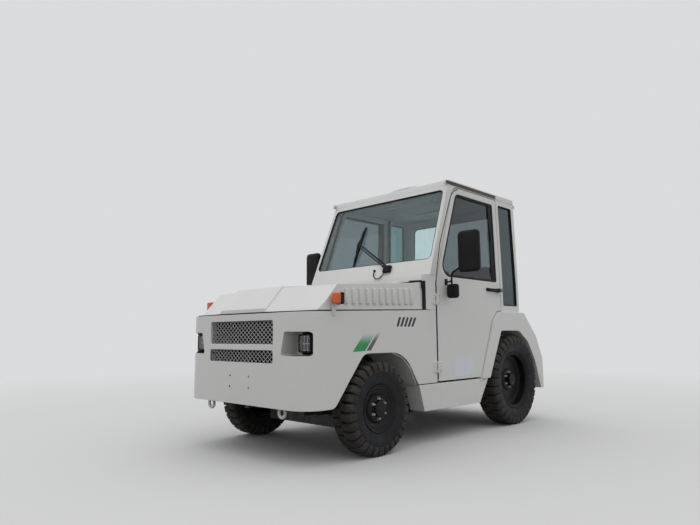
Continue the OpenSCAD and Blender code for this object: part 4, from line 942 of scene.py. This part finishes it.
# Marks on the side plates: five slashes, a green stripe that fades upwards and a dark one
slashes = []
for k in range(5):
    low, high = 818 + 40.5 * k, 848 + 42.5 * k
    slashes.append(drawn("slash", [(650, low, 823), (650, low + 6, 819), (650, low + 22, 820),
                                   (650, high + 20, 880), (650, high + 13, 885), (650, high - 2, 884)],
                         run(0.5, 0, 0)))
both_sides(joined("side_slashes", slashes), "tractor", slash_black, "black_plastic")
stripe = drawn("green_stripe", [(650, 388, 660), (650, 500, 663), (650, 612, 788), (650, 506, 788)],
               run(0.5, 0, 0))
both_sides(stripe, "tractor", green_fade, "white_paint")
stripe = drawn("dark_stripe", [(650, 514, 664), (650, 556, 665), (650, 668, 796), (650, 628, 790)],
               run(0.5, 0, 0))
both_sides(stripe, "tractor", dark_fade, "white_paint")
for side, sign in SIDES:
    plate = block("blank_plate_" + side, (sign * 650, 1492, 447), (sign * 650.8, 1768, 593))
    bevel_along(plate, 0, 6, 3)
    close_seams(plate)
    put_down(plate, "door_" + side, blank_vinyl, "white_paint")

# Roof hatch: curb and an arched lid with a rolled edge; ceiling panel and lamp inside
curb = bevel_sharp(block("roof_hatch_cover", (-255, 1766, 1990), (255, 2254, 2036)), 6, 3)
arch = [(-280, 2026), (-268, 2031)]
arch += [(x, 2076 - 38 * abs(x / 262) ** 2.4) for x in range(-240, 241, 40)]
arch += [(268, 2031), (280, 2026)]
lid = drawn("hatch_lid", [(x, 1742, z) for x, z in arch] + [(x, 1742, z - 12) for x, z in reversed(arch)],
            run(0, 536, 0))
bevel_sharp(lid, 4, 3, 50)
curb = joined("roof_hatch_cover", [curb, lid])
put_down(smooth(curb, 35), "tractor", white_paint, "white_paint", "roof_hatch")

ceiling = bevel_sharp(block("ceiling_panel", (-594, 1566, 1930), (594, 2504, 1940)), 4, 2)
hole = ring("ceiling_frame", [(-250, 1790, 1930), (250, 1790, 1930), (250, 2230, 1930), (-250, 2230, 1930)],
            28, run(0, 0, -14))
bevel_sharp(hole, 4, 2)
dome = bevel_sharp(block("cab_lamp", (-60, 1640, 1912), (60, 1700, 1931)), 7, 3)
ceiling = joined("ceiling_panel", [plated(ceiling, lining), plated(hole, lining), plated(dome, lining)])
put_down(smooth(ceiling, 40), "tractor", None, "cab_plastic")

# Instruments and steering wheel
top = skin_of("dashboard", "dashboard_cover")
round_edges(top, 14, 4)
smooth(top, 40)
hood_box = block("instrument_hood", (110, 1345, 1188), (370, 1462, 1238))
pick(hood_box, "FACE", lambda mid, way: way.z > 0.9)
sized((0.86, 0.7, 1), 240, 1380, 1238)
bevel_sharp(hood_box, 10, 4)
smooth(hood_box, 40)
dials = []
for x in (185, 295):
    dial = turned("dial", [(0, 0), (0, 36), (6, 36), (6, 32), (2, 30), (2, 0)], (x, 1444, 1213),
                  (0, 0.96, 0.28), (1, 0, 0), 32, closed=False)
    dials.append(plated(smooth(dial, 35), black_plastic))
top = joined("dashboard_cover", [plated(top, cab_plastic), plated(hood_box, cab_plastic)] + dials)
put_down(top, "tractor", None, "cab_plastic", "dashboard")

WHEEL_MID = (240, 1600, 1185)
WHEEL_AXIS = Vector((0, math.sqrt(0.5), math.sqrt(0.5)))
hoop = turned("steering_wheel_hoop", circle(180, 13.5), WHEEL_MID, WHEEL_AXIS, (1, 0, 0), 48)
boss = turned("wheel_boss", [(-18, 0), (-18, 34), (-4, 40), (4, 40), (11, 34), (12, 20), (9, 16), (9, 0)],
              WHEEL_MID, WHEEL_AXIS, (1, 0, 0), 32, closed=False)
parts = [hoop, boss]
for degrees in (90, 210, 330):
    spoke = block("wheel_spoke", (30, -13, -5), (174, 13, 5))
    pick(spoke, "FACE", lambda mid, way: way.x > 0.9)
    sized((1, 0.6, 0.8), 174, 0, 0)
    bevel_sharp(spoke, 3, 3)
    tilt = Matrix.Translation(at(*WHEEL_MID)) @ Matrix.Rotation(math.radians(-45), 4, "X")
    spoke.matrix_world = (tilt @ Matrix.Rotation(math.radians(degrees), 4, "Z")
                          @ Matrix.Translation(-at(0, 0, 0)))
    settle(spoke)
    parts.append(spoke)
helm = joined("steering_wheel_moulding", parts)
put_down(smooth(helm, 50), "steering_wheel", black_plastic, "black_plastic", "steering_wheel")

# Tail lamps: a black tray with red, amber and clear lenses
tray = bevel_along(block("tail_lamp", (500, 2935, 400), (620, 2945, 480)), 1, 8, 4)
parts = [plated(tray, black_plastic)]
for low, high, material in ((504, 556, red_lens), (558, 590, amber_lens), (592, 616, lens_milk)):
    lens = bevel_along(block("tail_lens", (low, 2943, 405), (high, 2958, 475)), 1, 5, 3)
    bevel_sharp(lens, 4, 3, 50)
    parts.append(plated(lens, material))
tail = joined("tail_lamp", parts)
both_sides(smooth(tail, 40), "tractor", None, "red_lens", "tail_lamps")

# Radiator core behind the grilles, and a black sheet behind the plate's holes as painted shade
core = block("radiator_core", (-342, 44, 586), (342, 56, 866))
pick(core, "FACE", lambda mid, way: way.y < -0.9)
bpy.ops.mesh.subdivide(number_cuts=9)
bpy.ops.mesh.inset(thickness=3 * MM, depth=-3 * MM, use_individual=True)
# Painted shade: a black sheet behind the holes of the front plate, so that they show dark
shade_sheet = bevel_sharp(block("hole_shade_sheet", (-140, 13, 420), (140, 17, 520)), 1, 1)
core = joined("radiator_core", [core, shade_sheet])
put_down(core, "tractor", core_and_hole_shade_black, "engine_iron")


# Seats: a steel base, and a sewn cushion and back that are blown up as cloth
PAD_SWELL = 9
PAD_STEPS = 12
PAD_CLOTH = (("quality", 5), ("mass", 0.3), ("tension_stiffness", 25), ("compression_stiffness", 25),
             ("shear_stiffness", 15), ("bending_stiffness", 1), ("use_pressure", True),
             ("uniform_pressure_force", 4))
CHANNEL_WIDTH, CHANNEL_SINK = 4.5, 6


def padding(name, low, high, along, channels):
    """A padded form, started small and swollen by cloth pressure, with channels sewn into its face."""
    obj = bevel_sharp(block(name, [v + PAD_SWELL for v in low], [v - PAD_SWELL for v in high]), 20, 4)
    smooth(obj, 60)
    applied(obj, "REMESH", mode="VOXEL", voxel_size=0.013)
    starts = [v.co.copy() for v in obj.data.vertices]
    take(obj)
    cloth = obj.modifiers.new("Cloth", "CLOTH")
    for key, value in PAD_CLOTH:
        setattr(cloth.settings, key, value)
    cloth.settings.effector_weights.gravity = 0
    for number in range(1, PAD_STEPS + 1):
        bpy.context.scene.frame_set(number)
    bpy.ops.object.modifier_apply(modifier=cloth.name)
    bpy.context.scene.frame_set(1)
    for corner, start in zip(obj.data.vertices, starts):
        step = corner.co - start
        if step.length > PAD_SWELL * MM:
            corner.co = start + step.normalized() * PAD_SWELL * MM
    applied(obj, "SUBSURF", levels=1, render_levels=1)
    out = 1 if along == 2 else -1
    middle = (at(*low) + at(*high)) / 2
    for corner in obj.data.vertices:
        if corner.normal[along] * out > 0.5:
            sink = sum(math.exp(-((corner.co.x - middle.x - c * MM) / (CHANNEL_WIDTH * MM)) ** 2)
                       for c in channels)
            corner.co[along] -= out * min(1.0, sink) * CHANNEL_SINK * MM
    smooth(obj, 60)
    return obj


cushion = padding("seat_cushion", (10, 2016, 800), (440, 2440, 890), 2, (-145, -50, 50, 145))
back = padding("seat_back", (15, 2390, 890), (435, 2490, 1400), 1, (-140, -48, 48, 140))
for pad in (cushion, back):
    other = mirrored(pad, pad.name + "_right")
    pad.name = pad.name + "_left"
    for piece in (pad, other):
        put_down(piece, "tractor", seat_vinyl, "seat_vinyl", "seats")
base = bevel_sharp(block("seat_base", (25, 2030, 761), (425, 2440, 802)), 5, 3)
slide = bevel_sharp(block("seat_slide", (60, 2010, 766), (84, 2034, 790)), 4, 3)
base = joined("seat_base", [base, slide])
both_sides(smooth(base, 40), "tractor", chassis_paint, "chassis_black")

# Wheels
def tyre(name, r, w, tread_w, flange_r, lugs, axle, track, groove):
    """A carcass spun round the axle with shoulder lugs that fold down onto both sidewalls."""
    base = r - groove
    mid_r = (base + flange_r) / 2
    half = [(0, base), (tread_w * 0.5 - 12, base), (tread_w * 0.5 + 2, base - 8),
            (w * 0.49, base - 34), (w * 0.497, base - 37), (w * 0.497, base - 41), (w * 0.5, base - 44),
            (w * 0.5, mid_r + 8), (w * 0.497, mid_r + 4), (w * 0.497, mid_r - 2), (w * 0.488, mid_r - 6),
            (w * 0.46, flange_r + 22), (w * 0.44, flange_r + 14), (w * 0.42, flange_r + 9),
            (w * 0.385, flange_r + 4), (w * 0.365, flange_r - 2), (w * 0.34, flange_r - 14)]
    profile = half + [(-a, b) for a, b in reversed(half)]
    centre = (track, axle[0], axle[1])
    carcass = turned("carcass", profile, centre, steps=96)
    smooth(carcass, 32)
    pitch = math.tau * r / lugs
    width = pitch - 18
    pieces = [carcass]
    lug = block("lug", (track + tread_w * 0.10, axle[0] - width / 2, axle[1] + base - 6),
                (track + tread_w * 0.5 - 9, axle[0] + width / 2, axle[1] + r))
    pick(lug, "FACE", lambda mid, way: way.x > 0.9)
    push_out(run(16, 0, -12))
    push_out(run(w * 0.5 - tread_w * 0.5 - 5, 0, -26))
    bpy.ops.transform.resize(value=(1, 0.82, 1))
    pick(lug, "FACE", lambda mid, way: way.x < -0.9)
    push_out(run(-tread_w * 0.12, pitch * 0.22, 0))
    bpy.ops.transform.resize(value=(1, 0.7, 1))
    bevel_sharp(lug, 2.6, 2, 25)
    smooth(lug, 40)
    far = copied(lug, "far_lug")
    every(far)
    bpy.ops.transform.mirror(constraint_axis=(True, False, False), orient_type="GLOBAL",
                             center_override=at(*centre))
    bpy.ops.mesh.flip_normals()
    turned_about(far, 180 / lugs, "X", centre)
    for shoulder in (lug, far):
        for i in range(1, lugs):
            pieces.append(turned_about(copied(shoulder, "lug_copy"), 360 * i / lugs, "X", centre))
    for piece in pieces[1:] + [lug, far]:
        plated(piece, rubber_lug)
    carcass.data.materials.append(rubber_wall)
    return joined(name, pieces + [lug, far])


def rim(name, flange_r, seat_r, w, disc_x, hub_x, axle, track):
    """A dished steel rim: rolled lips, a well, a disc with a raised ring, a hub and six nuts."""
    centre = (track, axle[0], axle[1])
    lip = w * 0.405
    profile = [
        (-w * 0.36, seat_r - 1), (-w * 0.37, flange_r - 3), (-w * 0.385, flange_r), (-w * 0.405, flange_r),
        (-w * 0.41, flange_r - 4), (-w * 0.40, flange_r - 8), (-w * 0.36, seat_r - 5),
        (-w * 0.2, seat_r - 8), (disc_x - 8, seat_r - 9), (disc_x - 8, 30), (hub_x - 8, 30), (hub_x, 30),
        (hub_x, 44), (hub_x - 6, 50),
        (disc_x + 22, 50), (disc_x + 16, 54), (disc_x + 16, 78), (disc_x + 12, 84), (disc_x + 2, 92),
        (disc_x + 0, seat_r - 40), (disc_x + 3, seat_r - 30), (disc_x + 12, seat_r - 16),
        (disc_x + 14, seat_r - 9), (lip - 22, seat_r - 9), (lip - 14, seat_r - 8), (lip - 11, seat_r - 2),
        (lip - 6, seat_r + 1), (lip - 5, flange_r - 12), (lip - 1, flange_r - 9), (lip + 1, flange_r - 3),
        (lip - 1, flange_r), (lip - 4, flange_r - 1), (lip - 8, flange_r - 8), (lip - 12, seat_r - 1)]
    body = turned("rim_body", profile, centre, steps=72)
    smooth(body, 38)
    body.data.materials.append(rim_paint)
    pieces = [body]
    nut_r = 62
    nut = turned("nut", [(disc_x + 14, 0), (disc_x + 14, 12), (disc_x + 16, 12), (disc_x + 18, 9.5),
                         (disc_x + 27, 9), (disc_x + 29, 6), (disc_x + 33, 5.5), (disc_x + 34, 4),
                         (disc_x + 34, 0)],
                 (track, axle[0], axle[1] + nut_r), steps=6, closed=False)
    bevel_sharp(nut, 0.8, 1, 40)
    nut.data.materials.append(zinc)
    for i in range(1, 6):
        pieces.append(turned_about(copied(nut, "nut_copy"), 60 * i, "X", centre))
    pieces.append(nut)
    cap = turned("cap", [(hub_x - 8, 0), (hub_x - 8, 31), (hub_x - 1, 31), (hub_x + 2, 27), (hub_x + 2, 12),
                         (hub_x + 4, 9), (hub_x + 4, 0)], centre, steps=32, closed=False)
    smooth(cap, 30)
    cap.data.materials.append(rim_paint)
    pieces.append(cap)
    return joined(name, pieces)


front_tyre = tyre("front_tyre_left", 295, 166, 141, 151, 30, FRONT_AXLE, 598, 17)
rear_tyre = tyre("rear_tyre_left", 373.5, 196, 165, 235, 32, REAR_AXLE, 580, 17)
front_rim = rim("front_rim_left", 151, 129, 166, 40, 80, FRONT_AXLE, 598)
rear_rim = rim("rear_rim_left", 235, 222, 196, 0, 55, REAR_AXLE, 580)
for piece, part in ((front_tyre, "tyre_front"), (rear_tyre, "tyre_rear"),
                    (front_rim, "rim_front"), (rear_rim, "rim_rear")):
    slot = "tyre" if part.startswith("tyre") else "rim_black"
    body = "wheel_" + part.split("_")[1]
    other = mirrored(piece, piece.name.replace("_left", "_right"))
    put_down(piece, body + "_left", None, slot, part + "_left")
    put_down(other, body + "_right", None, slot, part + "_right")

# Stage, light and camera
CAMERA_PLACE = (3.124, -3.716, 0.762)
CAMERA_YAW, CAMERA_PITCH, CAMERA_ROLL = 44.036, 7.294, -0.326
CAMERA_LENS = 29.273


BACKDROP = (0.70, 0.71, 0.72, 1)
FLOOR_LIT, FLOOR_SEEN = (0.22, 0.215, 0.21), (0.62, 0.615, 0.605)


def seen_share(tree):
    """1 for rays from the camera, off a gloss or through glass, else 0."""
    rays = new_node(tree, "LightPath")
    share = rays.outputs["Is Camera Ray"]
    for name in ("Is Glossy Ray", "Is Transmission Ray"):
        either = new_node(tree, "Math")
        either.operation = "MAXIMUM"
        tree.links.new(share, either.inputs[0])
        tree.links.new(rays.outputs[name], either.inputs[1])
        share = either.outputs[0]
    return share


def stage_floor():
    clear()
    bpy.ops.mesh.primitive_plane_add(size=80, location=(0, 0, 0))
    floor = named("studio_floor")
    material = bpy.data.materials.new("studio_floor")
    material.use_nodes = True
    tree = material.node_tree
    shader = tree.nodes["Principled BSDF"]
    shader.inputs["Roughness"].default_value = 0.9
    shader.inputs["Specular IOR Level"].default_value = 0.1
    seen = seen_share(tree)
    tree.links.new(blend_colours(tree, seen, FLOOR_LIT, FLOOR_SEEN), shader.inputs["Base Color"])
    place = new_node(tree, "TexCoord")
    length = new_node(tree, "VectorMath")
    length.operation = "LENGTH"
    tree.links.new(place.outputs["Object"], length.inputs[0])
    far = times(tree, spread(tree, length.outputs["Value"], 3.2, 9.0), seen)
    glow = new_node(tree, "Emission")
    glow.inputs["Color"].default_value = BACKDROP
    mix = new_node(tree, "MixShader")
    tree.links.new(far, mix.inputs["Fac"])
    tree.links.new(shader.outputs["BSDF"], mix.inputs[1])
    tree.links.new(glow.outputs["Emission"], mix.inputs[2])
    tree.links.new(mix.outputs["Shader"], tree.nodes["Material Output"].inputs["Surface"])
    floor.data.materials.append(material)


def stage_sky():
    """An even overcast dome: bright overhead, weaker towards the horizon, and pale where it is seen."""
    world = bpy.data.worlds.new("studio_sky")
    bpy.context.scene.world = world
    world.use_nodes = True
    tree = world.node_tree
    tree.nodes.clear()
    place = new_node(tree, "TexCoord")
    split = new_node(tree, "SeparateXYZ")
    tree.links.new(place.outputs["Generated"], split.inputs["Vector"])
    ramp = new_node(tree, "MapRange")
    for key, number in (("From Min", 0.0), ("From Max", 1.0), ("To Min", 0.30), ("To Max", 1.45)):
        ramp.inputs[key].default_value = number
    tree.links.new(split.outputs["Z"], ramp.inputs["Value"])
    light = new_node(tree, "Background")
    light.inputs["Color"].default_value = (0.97, 0.985, 1.0, 1)
    tree.links.new(ramp.outputs["Result"], light.inputs["Strength"])
    seen = new_node(tree, "Background")
    seen.inputs["Color"].default_value = BACKDROP
    mix = new_node(tree, "MixShader")
    tree.links.new(seen_share(tree), mix.inputs["Fac"])
    tree.links.new(light.outputs["Background"], mix.inputs[1])
    tree.links.new(seen.outputs["Background"], mix.inputs[2])
    out = new_node(tree, "OutputWorld")
    tree.links.new(mix.outputs["Shader"], out.inputs["Surface"])


def stage_camera():
    camera = bpy.data.objects.new("camera", bpy.data.cameras.new("camera"))
    bpy.context.scene.collection.objects.link(camera)
    camera.data.sensor_width = 36.0
    camera.data.lens = CAMERA_LENS
    camera.data.clip_end = 200.0
    yaw, pitch, roll = (math.radians(v) for v in (CAMERA_YAW, CAMERA_PITCH, CAMERA_ROLL))
    ahead = Vector((-math.sin(yaw) * math.cos(pitch), math.cos(yaw) * math.cos(pitch), math.sin(pitch)))
    right = ahead.cross(Vector((0, 0, 1))).normalized()
    up = right.cross(ahead)
    across = right * math.cos(roll) + up * math.sin(roll)
    over = up * math.cos(roll) - right * math.sin(roll)
    turn = Matrix((across, over, -ahead)).transposed().to_4x4()
    camera.matrix_world = Matrix.Translation(Vector(CAMERA_PLACE)) @ turn
    bpy.context.scene.camera = camera


stage_floor()
stage_sky()
stage_camera()
bpy.context.scene.view_settings.view_transform = "Standard"

clear()
